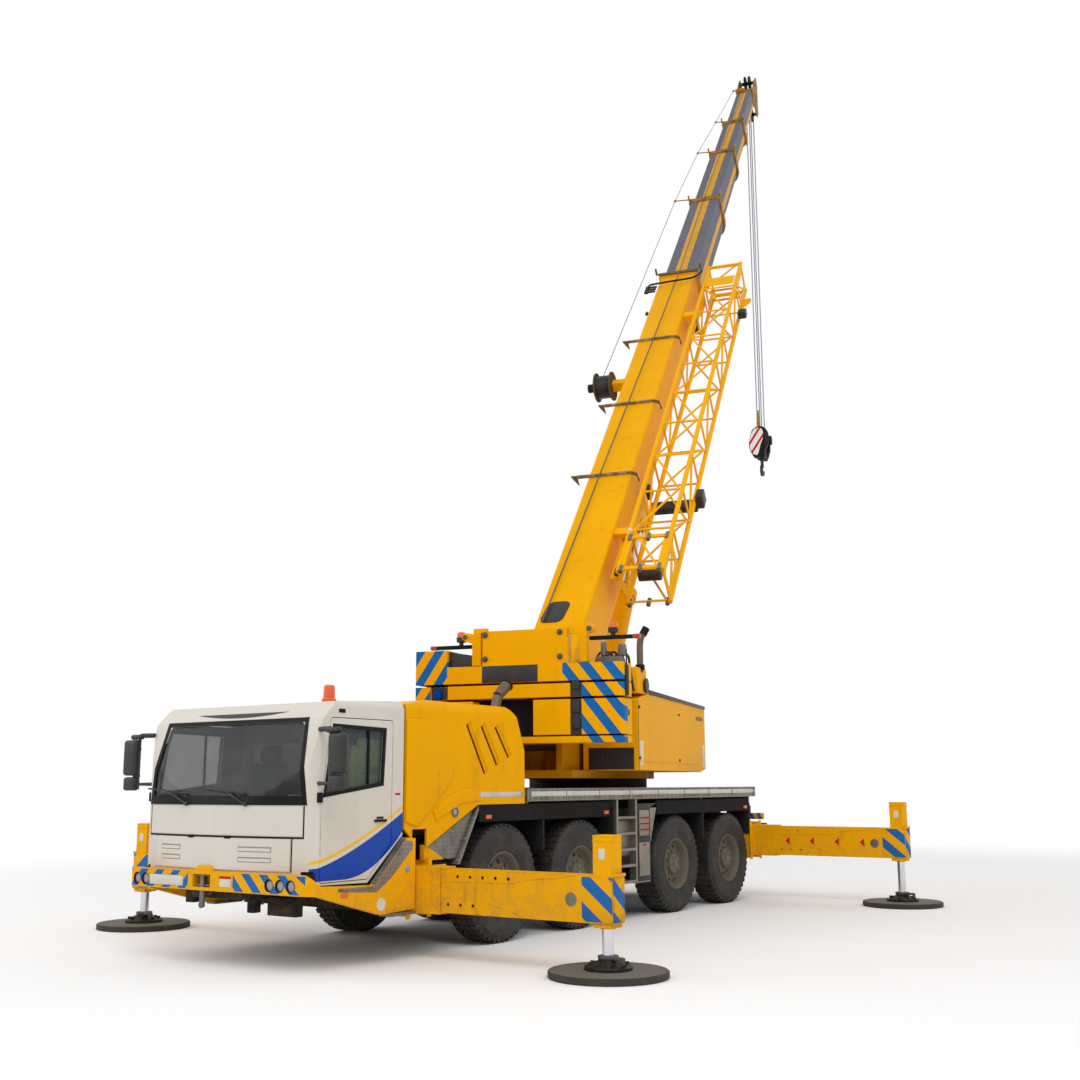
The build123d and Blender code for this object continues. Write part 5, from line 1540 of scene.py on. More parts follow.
                tread.box((side * 1.3, 1.33, 0.488), (0.16, 0.4, 0.03), 0.004)
        amber, white, silver = self.shapes(3)
        for side in (-1, 1):
            amber.box((side * 1.333, 0.51, 0.73), (0.014, 0.1, 0.045), 0.005)
            white.lathe([(0, 0.004), (0.062, 0.004), (0.064, 0.0), (0, 0)], (side * 1.33, 1.04, 0.6), (side, 0, 0), 32)
            silver.lathe([(0, 0.02), (0.026, 0.018), (0.034, 0.006), (0.036, 0.0), (0, 0)], (side * 1.33, 1.43, 0.93),
                (side, 0, 0), 24)
        amber.done("bumper_markers", "carrier", Dress.AMBER)
        white.done("bumper_discs", "carrier", Dress.PLATE, "cab_white")
        silver.done("bumper_side_lamps", "carrier", Dress.CLEAR)
        with self.piece("bumper_notice_band", Dress.RED, slot="cab_white") as red:
            red.box((0.22, -0.019, 0.885), (0.16, 0.001, 0.022), 0.0)

    def roof(self) -> None:
        """Builds the roof beacon."""
        foot, dome = self.shapes(2)
        foot.lathe([(0, 0), (0.075, 0), (0.075, 0.03), (0.062, 0.045), (0, 0.045)], (1.03, 0.535, 2.606), (0, 0, 1),
            28)
        dome.lathe([(0, 0.18), (0.045, 0.176), (0.056, 0.158), (0.06, 0.045), (0, 0.045)], (1.03, 0.535, 2.606),
            (0, 0, 1), 28)
        foot.done("beacon_feet", "carrier", Dress.AMBER)
        dome.done("beacon_domes", "carrier", Dress.AMBER)

    def inside(self) -> None:
        """Builds the seats, dash, wheel and what the crew left in the cab."""
        for side, name in ((1, "driver"), (-1, "mate")):
            x = side * 0.6
            for part, centre, size, lean in (("cushion", (x, 1.0, 1.33), (0.5, 0.48, 0.15), 0.0),
                    ("back", (x, 1.245, 1.7), (0.48, 0.13, 0.66), -0.12),
                    ("headrest", (x, 1.3, 2.13), (0.28, 0.09, 0.2), -0.12)):
                seat = Shaper(self.place)
                seat.box(centre, size, 0.045, Matrix.Rotation(lean, 4, "X"), 4)
                seat.done(f"{name}_{part}", "carrier", Dress.CLOTH, "moulded_black", 60,
                    ("cab_interior",) if (name, part) == ("driver", "cushion") else ())
            with self.piece(f"{name}_pedestal", Dress.TRIM) as base:
                base.box((x, 1.02, 1.14), (0.36, 0.36, 0.24), 0.01)
        with self.piece("dashboard", Dress.MOULDED) as dash:
            dash.prism([(0.19, 1.03), (0.17, 1.57), (0.3, 1.63), (0.46, 1.6), (0.5, 1.5), (0.36, 1.38), (0.34, 1.03)],
                Side.SIDE, -0.95, 0.95, 0.02, 3)
            dash.box((0.6, 0.46, 1.6), (0.42, 0.14, 0.1), 0.03)
            dash.rod((0.6, 0.45, 1.53), (0.6, 0.6, 1.66), 0.03, 14)
            dash.lathe([(0.205, -0.014), (0.222, -0.012), (0.226, 0.0), (0.222, 0.012), (0.205, 0.014), (0.198, 0.0),
                (0.205, -0.014)], (0.6, 0.615, 1.675), (0, 0.62, 0.78), 36)
            for angle in (0.0, math.pi):
                dash.box((0.6, 0.615, 1.675), (0.4, 0.04, 0.02), 0.006, Matrix.Rotation(-0.67, 4, "X"))
        with self.piece("cab_papers", Dress.PAPER) as pale:
            pale.box((-0.52, 1.366, 2.02), (0.86, 0.02, 0.46), 0.01)
            pale.box((0.3, 0.27, 1.632), (0.3, 0.14, 0.006), 0.001, Matrix.Rotation(0.3, 4, "Z"))
            pale.box((0.86, 0.3, 1.66), (0.16, 0.1, 0.06), 0.004)
        with self.piece("cab_folder", Dress.LIME, slot="cab_white") as green:
            green.box((0.46, 0.3, 1.642), (0.26, 0.1, 0.008), 0.002, Matrix.Rotation(-0.2, 4, "Z"))
        with self.piece("hung_jacket", Dress.LIME, smooth=50) as jacket:
            jacket.box((1.13, 1.02, 1.98), (0.07, 0.34, 0.56), 0.03, Matrix.Rotation(0.06, 4, "Y"), 3)
            jacket.box((1.1, 0.86, 1.95), (0.06, 0.14, 0.46), 0.03, Matrix.Rotation(-0.08, 4, "X"), 3)
        with self.piece("jacket_strips", Dress.STRIP) as strips:
            strips.box((1.169, 1.02, 1.93), (0.004, 0.335, 0.045), 0.001, Matrix.Rotation(0.06, 4, "Y"))
            strips.box((1.173, 0.93, 2.08), (0.004, 0.045, 0.34), 0.001, Matrix.Rotation(0.06, 4, "Y"))

    def build(self) -> None:
        """Builds the whole cab."""
        self.doors()
        self.front()
        self.mirrors()
        self.bumper()
        self.roof()
        self.inside()


# ---------------------------------------------------------------- hood and deck
@dataclass
class Deck(Assembly):
    """The engine hood, the deck with its rails, treads and ladders, and the chassis below."""

    outer: float = 1.25
    grooves: tuple = (((2.54, 2.47), (2.88, 1.91)), ((2.81, 2.46), (3.11, 2.01)), ((3.07, 2.46), (3.34, 2.1)))

    def hood(self) -> None:
        """Builds the hood with its swage, grooves, lamp and silver strip."""
        cuts = Shaper(self.place)
        for side in (-1, 1):
            for (y0, z0), (y1, z1) in self.grooves:
                x = side * (self.outer + 0.02)
                cuts.rod((x, y0, z0), (x, y1, z1), 0.052, 20)
        self.refine("engine_hood", Dress.YELLOW, 0.012, 3, cuts)
        proud = [(1.475, 1.4), (1.475, 2.475), (1.95, 2.485), (2.03, 2.455), (2.18, 2.21), (2.29, 1.93), (2.2, 1.8),
            (1.98, 1.6), (1.66, 1.345)]
        ridge = [(1.98, 1.4), (2.4, 1.575), (2.76, 1.605), (2.76, 1.745), (2.42, 1.735), (2.2, 1.66), (1.93, 1.5)]
        with self.piece("hood_swages", Dress.YELLOW, smooth=50) as swage:
            for side in (-1, 1):
                swage.prism(proud, Side.SIDE, side * 1.245, side * 1.272, 0.02, 4)
                swage.prism(ridge, Side.SIDE, side * 1.245, side * 1.268, 0.016, 4)
        with self.piece("silver_strips", Dress.STRIP) as strip:
            for side in (-1, 1):
                strip.box((side * 1.252, 3.18, 1.67), (0.004, 0.86, 0.06), 0.001)
                strip.box((side * 1.282, 6.81, 1.67), (0.003, 6.2, 0.058), 0.001)
        lamp, ring = self.shapes(2)
        for side in (-1, 1):
            ring.lathe([(0.036, 0.0), (0.056, 0.0), (0.056, 0.012), (0.038, 0.014), (0.036, 0.0)],
                (side * 1.25, 2.31, 1.485), (side, 0, 0), 28)
            lamp.lathe([(0, 0.012), (0.03, 0.01), (0.037, 0.004), (0.037, 0.0), (0, 0)], (side * 1.25, 2.31, 1.485),
                (side, 0, 0), 28)
        lamp.done("hood_lamps", "carrier", Dress.CLEAR)
        ring.done("hood_lamp_rings", "carrier", Dress.STEEL, "dull_metal")
        with self.piece("hood_intake", Dress.EXHAUST) as pipe:
            pipe.rod((1.02, 3.33, 2.6), (1.02, 3.4, 2.83), 0.06, 20)
            pipe.rod((1.02, 3.4, 2.83), (1.02, 3.58, 2.97), 0.062, 20, 0.072)
        with self.piece("intake_mouth", Dress.TRIM, slot="engine") as mouth:
            mouth.rod((1.02, 3.575, 2.966), (1.02, 3.592, 2.98), 0.082, 20, bevel=0.004)
        # Painted shade: a black sheet fills the gap between the cab and the hood, where shade falls.
        with self.piece("cab_gap_painted_shade", Dress.CHASSIS) as gap:
            gap.box((0, 1.456, 2.05), (2.34, 0.02, 1.1), 0.0)

    def treads(self) -> None:
        """Builds the skirts, the guard ahead of the first wheel, rails, ladders and lockers."""
        self.refine("wheel_fenders", Dress.CHASSIS)
        self.refine("deck", Dress.DECK_PLATE, 0.004)
        self.refine("deck_ladders", Dress.ALUMINIUM, 0.005)
        with self.piece("wheel_guards", Dress.TREAD_PLATE) as guard:
            for side in (-1, 1):
                start = 1.85 if side > 0 else 2.15
                guard.prism([(2.77, 1.545), (2.725, 1.545), (2.4, 0.985), (2.25, 0.985), (start, 1.06), (start, 1.1),
                    (2.73, 1.535)], Side.SIDE, side * 1.165, side * 1.2, 0.003)
                guard.prism([(2.8, 1.56), (2.76, 1.56), (2.375, 0.92), (2.425, 0.92)], Side.SIDE, side * 0.9,
                    side * 1.24, 0.004)
        with self.piece("rail_edges", Dress.ALUMINIUM) as rail:
            for side in (-1, 1):
                rail.box((side * 1.283, 6.8, 1.728), (0.01, 6.24, 0.014), 0.003)
                rail.box((side * 1.283, 6.8, 1.592), (0.01, 6.24, 0.014), 0.003)
                for i in range(9):
                    rail.box((side * 1.283, 3.72 + i * 0.77, 1.66), (0.008, 0.016, 0.13), 0.002)
        with self.piece("deck_lids", Dress.DECK_PLATE) as lid:
            for x, y, w, d in ((0.8, 4.25, 0.7, 0.9), (-0.8, 4.25, 0.7, 0.9), (0.95, 8.6, 0.48, 1.3),
                    (-0.95, 8.6, 0.48, 1.3)):
                lid.box((x, y, 1.708), (w, d, 0.022), 0.004)
        with self.piece("side_markers", Dress.AMBER) as slip:
            for side in (-1, 1):
                for y in (2.92, 5.46):
                    slip.box((side * 1.256, y, 1.42), (0.014, 0.1, 0.045), 0.004)
                slip.box((side * 1.256, 9.6, 1.42), (0.014, 0.1, 0.045), 0.004)
        with self.piece("mud_flaps", Dress.MOULDED) as flap:
            for side in (-1, 1):
                for y in (4.05, 5.675, 8.21, 9.795):
                    flap.box((side * 1.06, y, 1.24), (0.36, 0.012, 0.48), 0.003)
                flap.prism([(6.26, 1.52), (6.78, 1.52), (6.6, 1.46), (6.6, 0.49), (6.26, 0.49)], Side.SIDE,
                    side * 1.247, side * 1.256, 0.003)
        with self.piece("side_lockers", Dress.ALUMINIUM) as panel:
            for side in (-1, 1):
                panel.box((side * 1.262, 6.42, 1.26), (0.016, 0.26, 0.34), 0.006)
                panel.box((side * 1.262, 6.42, 0.78), (0.012, 0.28, 0.44), 0.006)
        with self.piece("outrigger_controls", Dress.RED, slot="moulded_black") as knobs:
            for side in (-1, 1):
                for i in range(4):
                    for j in range(3):
                        knobs.rod((side * 1.268, 6.33 + i * 0.06, 1.17 + j * 0.08),
                            (side * 1.284, 6.33 + i * 0.06, 1.17 + j * 0.08), 0.012, 12)
                knobs.box((side * 1.27, 6.42, 0.97), (0.008, 0.08, 0.025), 0.003)

    def below(self) -> None:
        """Builds the chassis, its axles, engine and the outrigger boxes' flanges."""
        self.refine("chassis_frame", Dress.CHASSIS)
        self.refine("axles", Dress.CHASSIS)
        self.refine("engine_block", Dress.CAST, 0.03, 3, slot="engine")
        for axle in range(1, 5):
            for name in ("left", "right"):
                self.refine(f"knuckle_{axle}_{name}", Dress.CHASSIS, body=f"knuckle_{axle}_{name}")
        with self.piece("outrigger_boxes", Dress.BEAM_YELLOW) as box:
            for side, bay, mid in ((1, 1.717, 0.71), (-1, 2.017, 0.71), (1, 9.96, 0.905), (-1, 10.26, 0.905)):
                for shift in (-1, 1):
                    box.box((side * 1.145, bay + shift * 0.1465, mid), (0.235, 0.014, 0.56), 0.004)
                    box.box((side * 1.252, bay + shift * 0.17, mid), (0.016, 0.06, 0.6), 0.004)
                    for z in (-0.2, 0.0, 0.2):
                        box.rod((side * 1.258, bay + shift * 0.172, mid + z),
                            (side * 1.272, bay + shift * 0.172, mid + z), 0.013, 6)
            for side, station, mid in ((-1, 1.717, 0.71), (1, 2.017, 0.71), (-1, 9.96, 0.905), (1, 10.26, 0.905)):
                box.box((side * 1.256, station, mid), (0.012, 0.278, 0.46), 0.006)
                box.box((side * 1.266, station, mid), (0.008, 0.14, 0.24), 0.004)
            for side, outline in ((1, [(1.57, 0.985), (1.57, 1.24), (1.605, 1.238), (1.605, 0.985)]),
                    (1, [(1.84, 1.152), (2.04, 1.06), (2.17, 0.99), (2.17, 0.985), (1.84, 0.985)]),
                    (-1, [(1.57, 0.985), (1.57, 1.24), (1.66, 1.235), (1.9, 1.124), (1.9, 0.985)]),
                    (-1, [(2.13, 1.012), (2.17, 0.99), (2.17, 0.985), (2.13, 0.985)])):
                box.prism(outline, Side.SIDE, side * 1.15, side * 1.215, 0.006)
        with self.piece("chassis_tanks", Dress.ALUMINIUM) as tank:
            for side in (-1, 1):
                tank.box((side * 0.86, 6.15, 1.08), (0.62, 0.86, 0.52), 0.05, segments=3)
        tail, lamp = self.shapes(2)
        for side in (-1, 1):
            tail.box((side * 0.8, 10.3, 1.345), (0.4, 0.1, 0.17), 0.01)
            for x in (0.68, 0.8, 0.92):
                lamp.rod((side * x, 10.35, 1.345), (side * x, 10.362, 1.345), 0.048, 24, bevel=0.004)
        tail.done("tail_lamp_boxes", "carrier", Dress.TRIM, "moulded_black")
        lamp.done("tail_lamps", "carrier", Dress.RED_LENS)
        stripe = Paint("tail_stripes", SIGNAL_YELLOW, dirt=0.3,
            pattern=stripes((0.7, 0, 0.7), 0.22, BLUE, mirror=(1, 0, 0)))
        with self.piece("tail_guard", stripe) as guard:
            guard.box((0, 10.4, 1.26), (2.4, 0.05, 0.1), 0.01)

    def build(self) -> None:
        """Builds the hood, the deck and what is below them."""
        self.hood()
        self.treads()
        self.below()


# ---------------------------------------------------------------- superstructure
def local(g: Graph, frame: Matrix) -> tuple:
    """Gives the three coordinates of a point in a local frame.

    Args:
        g: The graph that they are added to.
        frame: The frame.

    Returns:
        The coordinates.
    """
    origin = frame.translation
    return tuple(g.along(tuple(frame.col[i].to_3d()), -frame.col[i].to_3d().dot(origin)) for i in range(3))


def weight_livery(g: Graph, base: object) -> object:
    """Gives the ballast slabs' yellow, their striped ends, and black painted shade in the gaps between them and in the
    middle opening.

    Args:
        g: The graph that it is added to.
        base: The plain colour.

    Returns:
        The colour.
    """
    v, u, z = local(g, STANCE.house)
    left = g.most(g.every(v < -0.96, z > 3.05), g.every(v < -1.2, g.within(z, 2.85, 3.04)))
    right = g.most(g.every(v > 0.87, z < 3.05), g.every(v > 0.62, g.within(z, 3.05, 3.29)))
    up = v * 0.83 + z * -0.55
    down = v * 0.78 + z * 0.62
    up = (up / 0.224 + 20.3).fract() > 0.5
    down = (down / 0.235 + 20.1).fract() > 0.5
    share = g.most(g.every(left, up), g.every(right, down))
    share = g.every(share, u < -2.7)
    # Painted shade: the gaps between the slabs and the middle opening of the lowest slab are painted black, where
    # shade falls.
    shaded_gaps = g.most(g.within(z, 2.371, 2.389), g.most(g.within(z, 2.831, 2.859), g.within(z, 3.031, 3.059)))
    painted_shade = g.most(shaded_gaps, g.every(g.within(z, 2.37, 2.85), g.within(v, -0.598, 0.228)))
    return g.mix(painted_shade, g.mix(share, base, BLUE), BLACK)


@dataclass
class Superstructure(Assembly):
    """The slewing upper works: ballast, engine housing, operator's cab, winch and luffing cylinder."""

    place: ClassVar[Matrix] = STANCE.house
    body: ClassVar[str] = "superstructure"
    back: float = -2.896
    winch: Point = (0.0, -2.0, 2.5)
    slots: tuple = ((2.945, 0.17), (2.61, 0.44))

    def ballast(self) -> None:
        """Builds the striped slabs with their recesses, plates, lugs and pins."""
        cuts = Shaper(self.place)
        for z, tall in self.slots:
            cuts.box((0.795, self.back, z), (0.15, 0.06, tall + 0.04), 0.0)
        cuts.box((-1.075, self.back, 2.945), (0.25, 0.12, 0.21), 0.0)
        cuts.prism([(1.3, -3.0), (1.5, -3.0), (1.5, -2.7)], Side.PLAN, 2.2, 3.6, 0.0)
        paint = Paint("weight_yellow", SIGNAL_YELLOW, dirt=0.35, pattern=weight_livery)
        self.refine("counterweight", paint, 0.008, 2, cuts)
        with self.piece("ballast_fittings_and_painted_shade", Dress.MOULDED) as dark:
            # Painted shade: thin black sheets line the bottoms of the slot recesses.
            for z, tall in self.slots:
                dark.box((0.795, self.back + 0.024, z), (0.146, 0.008, tall), 0.0)
            for z in (3.005, 2.72, 2.52):
                dark.box((0.795, self.back + 0.012, z), (0.104, 0.022, 0.13 if z < 2.9 else 0.11), 0.01, segments=3)
            # Painted shade: a thin black sheet lines the bottom of the lock recess.
            dark.box((-1.075, self.back + 0.056, 2.945), (0.24, 0.008, 0.16), 0.0)
            dark.box((-0.09, self.back - 0.002, 3.17), (0.76, 0.008, 0.215), 0.002)
            dark.prism([(-0.955, 3.28), (-0.955, 3.485), (-0.63, 3.43), (-0.63, 3.28)], Side.FRONT, -2.84, -2.55,
                0.004)
            dark.rod((1.425, -2.78, 2.86), (1.425, -2.78, 3.24), 0.028, 16, bevel=0.008)
            dark.rod((1.425, -2.78, 3.24), (1.425, -2.78, 3.44), 0.01, 10)
            dark.box((1.413, -2.66, 2.66), (0.006, 0.05, 0.07), 0.0)
        with self.piece("ballast_lock", Dress.SWOOSH) as blue:
            blue.box((-1.11, self.back + 0.035, 2.925), (0.11, 0.035, 0.1), 0.012, segments=3)
            blue.box((-1.11, self.back + 0.035, 2.985), (0.06, 0.03, 0.03), 0.008)
        with self.piece("ballast_lugs", Dress.YELLOW) as lugs:
            lugs.prism([(-0.5, 3.29), (-0.62, 3.29), (-0.62, 3.58), (-0.72, 3.61), (-0.76, 3.64), (-0.77, 3.68),
                (-0.74, 3.715), (-0.7, 3.72), (-0.6, 3.7), (-0.6, 3.77), (-0.42, 3.77), (-0.42, 3.72), (-0.5, 3.71)],
                Side.FRONT, -2.88, -2.8, 0.006)
            lugs.prism([(0.7, 3.66), (0.7, 3.74), (0.8, 3.79), (0.98, 3.78), (1.02, 3.745), (1.03, 3.7), (1.0, 3.66),
                (0.94, 3.645), (0.94, 3.29), (0.85, 3.29), (0.85, 3.6), (0.78, 3.64)], Side.FRONT, -2.88, -2.8, 0.006)
            lugs.box((-0.09, -2.52, 3.5), (1.0, 0.08, 0.4), 0.006)
            for v in (-0.4, 0.6):
                lugs.box((v, -2.66, 3.5), (0.04, 0.28, 0.42), 0.006)
        with self.piece("ballast_pins", Dress.CAST) as pins:
            for v in (-0.44, 0.58):
                for z in (3.37, 3.68):
                    pins.rod((v, -2.862, z), (v, -2.88, z), 0.038, 20, bevel=0.003)
                    pins.rod((v, -2.878, z), (v, -2.898, z), 0.022, 6)
            pins.rod((-0.72, -2.78, 3.665), (-0.72, -2.9, 3.665), 0.03, 18, bevel=0.003)
            pins.rod((0.975, -2.78, 3.705), (0.975, -2.9, 3.705), 0.034, 18, bevel=0.003)

    def lamps(self) -> None:
        """Builds the light bars, beacons, exhaust and the loose hoses behind the ballast."""
        bar, red, foot, dome = (Shaper(self.place) for _ in range(4))
        for low, high, z, tip in ((-1.18, -0.66, 3.555, -1), (0.93, 1.5, 3.6, 1)):
            bar.box(((low + high) / 2, -2.72, z), (high - low, 0.07, 0.048), 0.008)
            end = high if tip > 0 else low
            red.box((end + tip * 0.045, -2.72, z), (0.09, 0.074, 0.054), 0.008)
        bar.rod((-0.66, -2.72, 3.55), (-0.6, -2.72, 3.45), 0.02, 10)
        for v, z in ((-0.84, 3.58), (1.24, 3.62)):
            foot.rod((v, -2.72, z), (v, -2.72, z + 0.05), 0.03, 14)
            foot.lathe([(0, 0), (0.062, 0), (0.066, 0.06), (0, 0.06)], (v, -2.72, z + 0.04), (0, 0, 1), 24)
            dome.lathe([(0, 0.075), (0.04, 0.072), (0.054, 0.055), (0.06, 0.0), (0, 0)], (v, -2.72, z + 0.1),
                (0, 0, 1), 24)
        bar.done("light_bars", "superstructure", Dress.TRIM, "moulded_black")
        red.done("light_bar_ends", "superstructure", Dress.RED_LENS)
        foot.done("beacon_sockets", "superstructure", Dress.MOULDED, "moulded_black")
        dome.done("rear_beacons", "superstructure", Dress.AMBER)
        self.hose("exhaust_pipe", Dress.EXHAUST, [(1.27, -1.6, 3.25), (1.27, -1.6, 3.45), (1.27, -1.6, 3.66),
            (1.3, -1.58, 3.76), (1.34, -1.56, 3.8)], 0.045)
        with self.piece("exhaust_ends", Dress.TRIM, slot="engine") as tip:
            tip.rod((1.31, -1.58, 3.755), (1.35, -1.55, 3.845), 0.052, 18)
            tip.rod((1.27, -1.6, 3.28), (1.27, -1.6, 3.35), 0.062, 18)
        for i in range(5):
            v, low = 0.92 + 0.07 * i, 3.3 + 0.012 * (i % 3)
            self.hose(f"upper_hose_{i}", Dress.HOSE, [(v, -2.45, low - 0.3), (v - 0.02, -2.44, low),
                (v + 0.03, -2.36, low + 0.18 - 0.02 * i), (v + 0.11, -2.28, low + 0.12), (v + 0.1, -2.2, low - 0.06),
                (v + 0.12, -2.1, low - 0.35)], 0.017)
        with self.piece("valve_blocks", Dress.STEEL) as box:
            box.box((1.1, -2.42, 3.34), (0.34, 0.12, 0.1), 0.01)
            box.box((1.26, -2.4, 3.47), (0.1, 0.1, 0.16), 0.02)
            box.rod((1.02, -2.42, 3.4), (1.02, -2.42, 3.58), 0.04, 16, bevel=0.005)

    def housing(self) -> None:
        """Builds the engine housing with its hinges, louvres, edge seal and blank notices."""
        self.refine("engine_housing", Dress.YELLOW, 0.01, 3)
        with self.piece("housing_cabinet", Dress.YELLOW) as box:
            box.box((1.155, -1.6, 3.135), (0.27, 0.46, 0.34), 0.012)
            box.box((1.306, -0.16, 2.08), (0.006, 3.3, 0.012), 0.0)
        with self.piece("housing_seals", Dress.MOULDED) as dark:
            dark.prism([(-1.31, 2.975), (-1.31, 3.035), (2.04, 2.995), (2.04, 2.945)], Side.SIDE, 1.298, 1.312, 0.002)
            dark.box((1.3015, -1.835, 2.42), (0.004, 0.014, 0.92), 0.0)
            for z in (2.78, 2.12):
                for u in (-1.79, 0.35):
                    dark.box((1.306, u, z), (0.014, 0.05, 0.035), 0.003)
            for i in range(3):
                dark.box((1.3025, 1.66, 2.76 + i * 0.022), (0.005, 0.44, 0.012), 0.0)
            dark.box((0.93, -1.854, 2.11), (0.62, 0.006, 0.28), 0.0)
            for i in range(15):
                dark.box((0.64 + i * 0.0415, -1.862, 2.11), (0.01, 0.016, 0.27), 0.0)
            dark.rod((1.3, -1.45, 3.08), (1.325, -1.45, 3.08), 0.1, 20, bevel=0.006)
        with self.piece("housing_notices", Dress.PLATE) as white:
            white.box((1.3025, -1.7, 2.18), (0.005, 0.15, 0.32), 0.001)
            white.box((1.3025, 1.9, 2.2), (0.005, 0.12, 0.36), 0.001)
        with self.piece("housing_louvres", Dress.TRIM) as louvre:
            for i in range(10):
                louvre.box((0.92, -1.2 + i * 0.24, 3.035 - 0.0118 * (i + 1)), (0.5, 0.14, 0.012), 0.003,
                    Matrix.Rotation(0.12, 4, "X"))

    def middle(self) -> None:
        """Builds the turntable frame, the winch with its rope and the luffing cylinder's fittings."""
        # The turntable's darker yellow is painted shade.
        self.refine("turntable", Dress.SHADED_TURNTABLE_YELLOW, 0.008)
        self.refine("hoist_winch", Dress.CAST, slot="steel")
        with self.piece("winch_rope", WireRope("drum_rope", srgb(112, 108, 102), (0, 0, 1)), smooth=60) as rope:
            profile, half, turns = [(0.0, -0.285)], 0.285, 18
            for i in range(turns):
                start = -half + 2 * half * i / turns
                step = 2 * half / turns
                profile += [(0.268, start), (0.282, start + step * 0.25), (0.286, start + step * 0.5),
                    (0.282, start + step * 0.75)]
            profile += [(0.268, half), (0.0, half)]
            rope.lathe(profile, self.winch, (1, 0, 0), 48)
        self.refine("luff_barrel", Dress.YELLOW, body="luff_barrel")
        self.refine("luff_rod", Dress.CHROME, 0.004, body="luff_rod")

    def seat(self) -> None:
        """Builds the operator's cab: glass, surrounds, seat, levers and its sliding door."""
        self.refine("operator_cab", Dress.YELLOW, 0.012, 3, body="operator_cab")
        self.refine("operator_door", Dress.YELLOW, body="operator_door")
        with self.piece("operator_glass", Dress.GLASS, "operator_cab") as glass:
            glass.box((-0.582, 0.9, 2.85), (0.006, 0.92, 0.82), 0.0)
            glass.prism([(1.886, 2.28), (1.786, 2.895), (1.5, 3.245), (1.492, 3.238), (1.778, 2.89), (1.878, 2.28)],
                Side.SIDE, -1.325, -0.625, 0.0)
        with self.piece("operator_door_glass", Dress.GLASS, "operator_door") as pane:
            pane.box((-1.4155, 0.8, 2.84), (0.006, 0.84, 0.88), 0.0)
        outer, inner = self.shapes(2)
        outer.box((-1.4345, 0.8, 2.84), (0.007, 0.88, 0.92), 0.001)
        inner.box((-1.4345, 0.8, 2.84), (0.05, 0.8, 0.84), 0.0)
        rim = carve(outer, inner)
        rim.box((-1.441, 0.42, 2.3), (0.018, 0.03, 0.16), 0.006)
        rim.done("operator_door_trim", "operator_door", Dress.TRIM, "moulded_black")
        for part, centre, size, lean in (("cushion", (-0.98, 0.75, 2.42), (0.48, 0.46, 0.13), 0.0),
                ("back", (-0.98, 0.5, 2.78), (0.46, 0.12, 0.62), 0.12)):
            soft = Shaper(self.place)
            soft.box(centre, size, 0.045, Matrix.Rotation(lean, 4, "X"), 4)
            soft.done(f"operator_{part}", "operator_cab", Dress.CLOTH, "moulded_black", 60)
        with self.piece("operator_controls", Dress.MOULDED, "operator_cab") as hard:
            hard.box((-0.98, 0.74, 2.17), (0.34, 0.34, 0.36), 0.01)
            for v in (-1.27, -0.69):
                hard.box((v, 0.78, 2.5), (0.09, 0.4, 0.1), 0.02)
                hard.rod((v, 0.92, 2.54), (v, 0.95, 2.7), 0.014, 10)
                hard.rod((v, 0.95, 2.69), (v, 0.955, 2.74), 0.024, 14, bevel=0.006)
            hard.box((-0.74, 1.6, 2.55), (0.14, 0.06, 0.3), 0.01)

    def build(self) -> None:
        """Builds the whole superstructure."""
        self.ballast()
        self.lamps()
        self.housing()
        self.middle()
        self.seat()


# ---------------------------------------------------------------- boom
def base_livery(g: Graph, base: object) -> object:
    """Gives the boom foot's yellow, its worn guide bars and its ochre collar.

    Args:
        g: The graph that it is added to.
        base: The plain colour.

    Returns:
        The colour.
    """
    v, s, m = local(g, STANCE.boom)
    bar: object = 0.0
    for place in (4.25, 6.52, 8.91):
        bar = g.most(bar, g.within(s, place - 0.03, place + 0.03))
    bar = g.every(bar, g.most(m > 0.5515, v < -0.4515))
    worn = g.mix(g.ramp(g.noise(g.place(), 7.0, 5, 0.7), 0.35, 0.6), srgb(96, 84, 62), srgb(158, 140, 104))
    collar = g.mix(g.ramp(g.noise(g.place(), 5.0, 5, 0.7), 0.35, 0.65), srgb(118, 92, 50), BROWN_YELLOW)
    return g.mix(s > 11.69, g.mix(bar, base, worn), collar)


def reel_livery(g: Graph, base: object) -> object:
    """Gives the reel's yellow bracket, brown flanges and black drum.

    Args:
        g: The graph that it is added to.
        base: The plain colour.

    Returns:
        The colour.
    """
    v, _, _ = local(g, STANCE.boom)
    flange = g.most(g.within(v, -0.63, -0.595), g.within(v, -0.925, -0.89))
    return g.mix(v > -0.595, g.mix(flange, base, srgb(92, 80, 58)), SIGNAL_YELLOW)


def rounded(width: float, length: float, radius: float, at: Point, skew: float = 0.0) -> list:
    """Gives the outline of a rounded rectangle.

    Args:
        width: Its width.
        length: Its length.
        radius: The radius of its corners.
        at: Its middle.
        skew: How far it leans for each metre of its length.

    Returns:
        The outline's points.
    """
    points = []
    for x, y, start in ((1, 1, 0.0), (-1, 1, 90.0), (-1, -1, 180.0), (1, -1, 270.0)):
        for step in range(5):
            angle = math.radians(start + 22.5 * step)
            b = y * (length / 2 - radius) + radius * math.sin(angle)
            points.append((at[0] + x * (width / 2 - radius) + radius * math.cos(angle) + skew * b, at[1] + b))
    return points


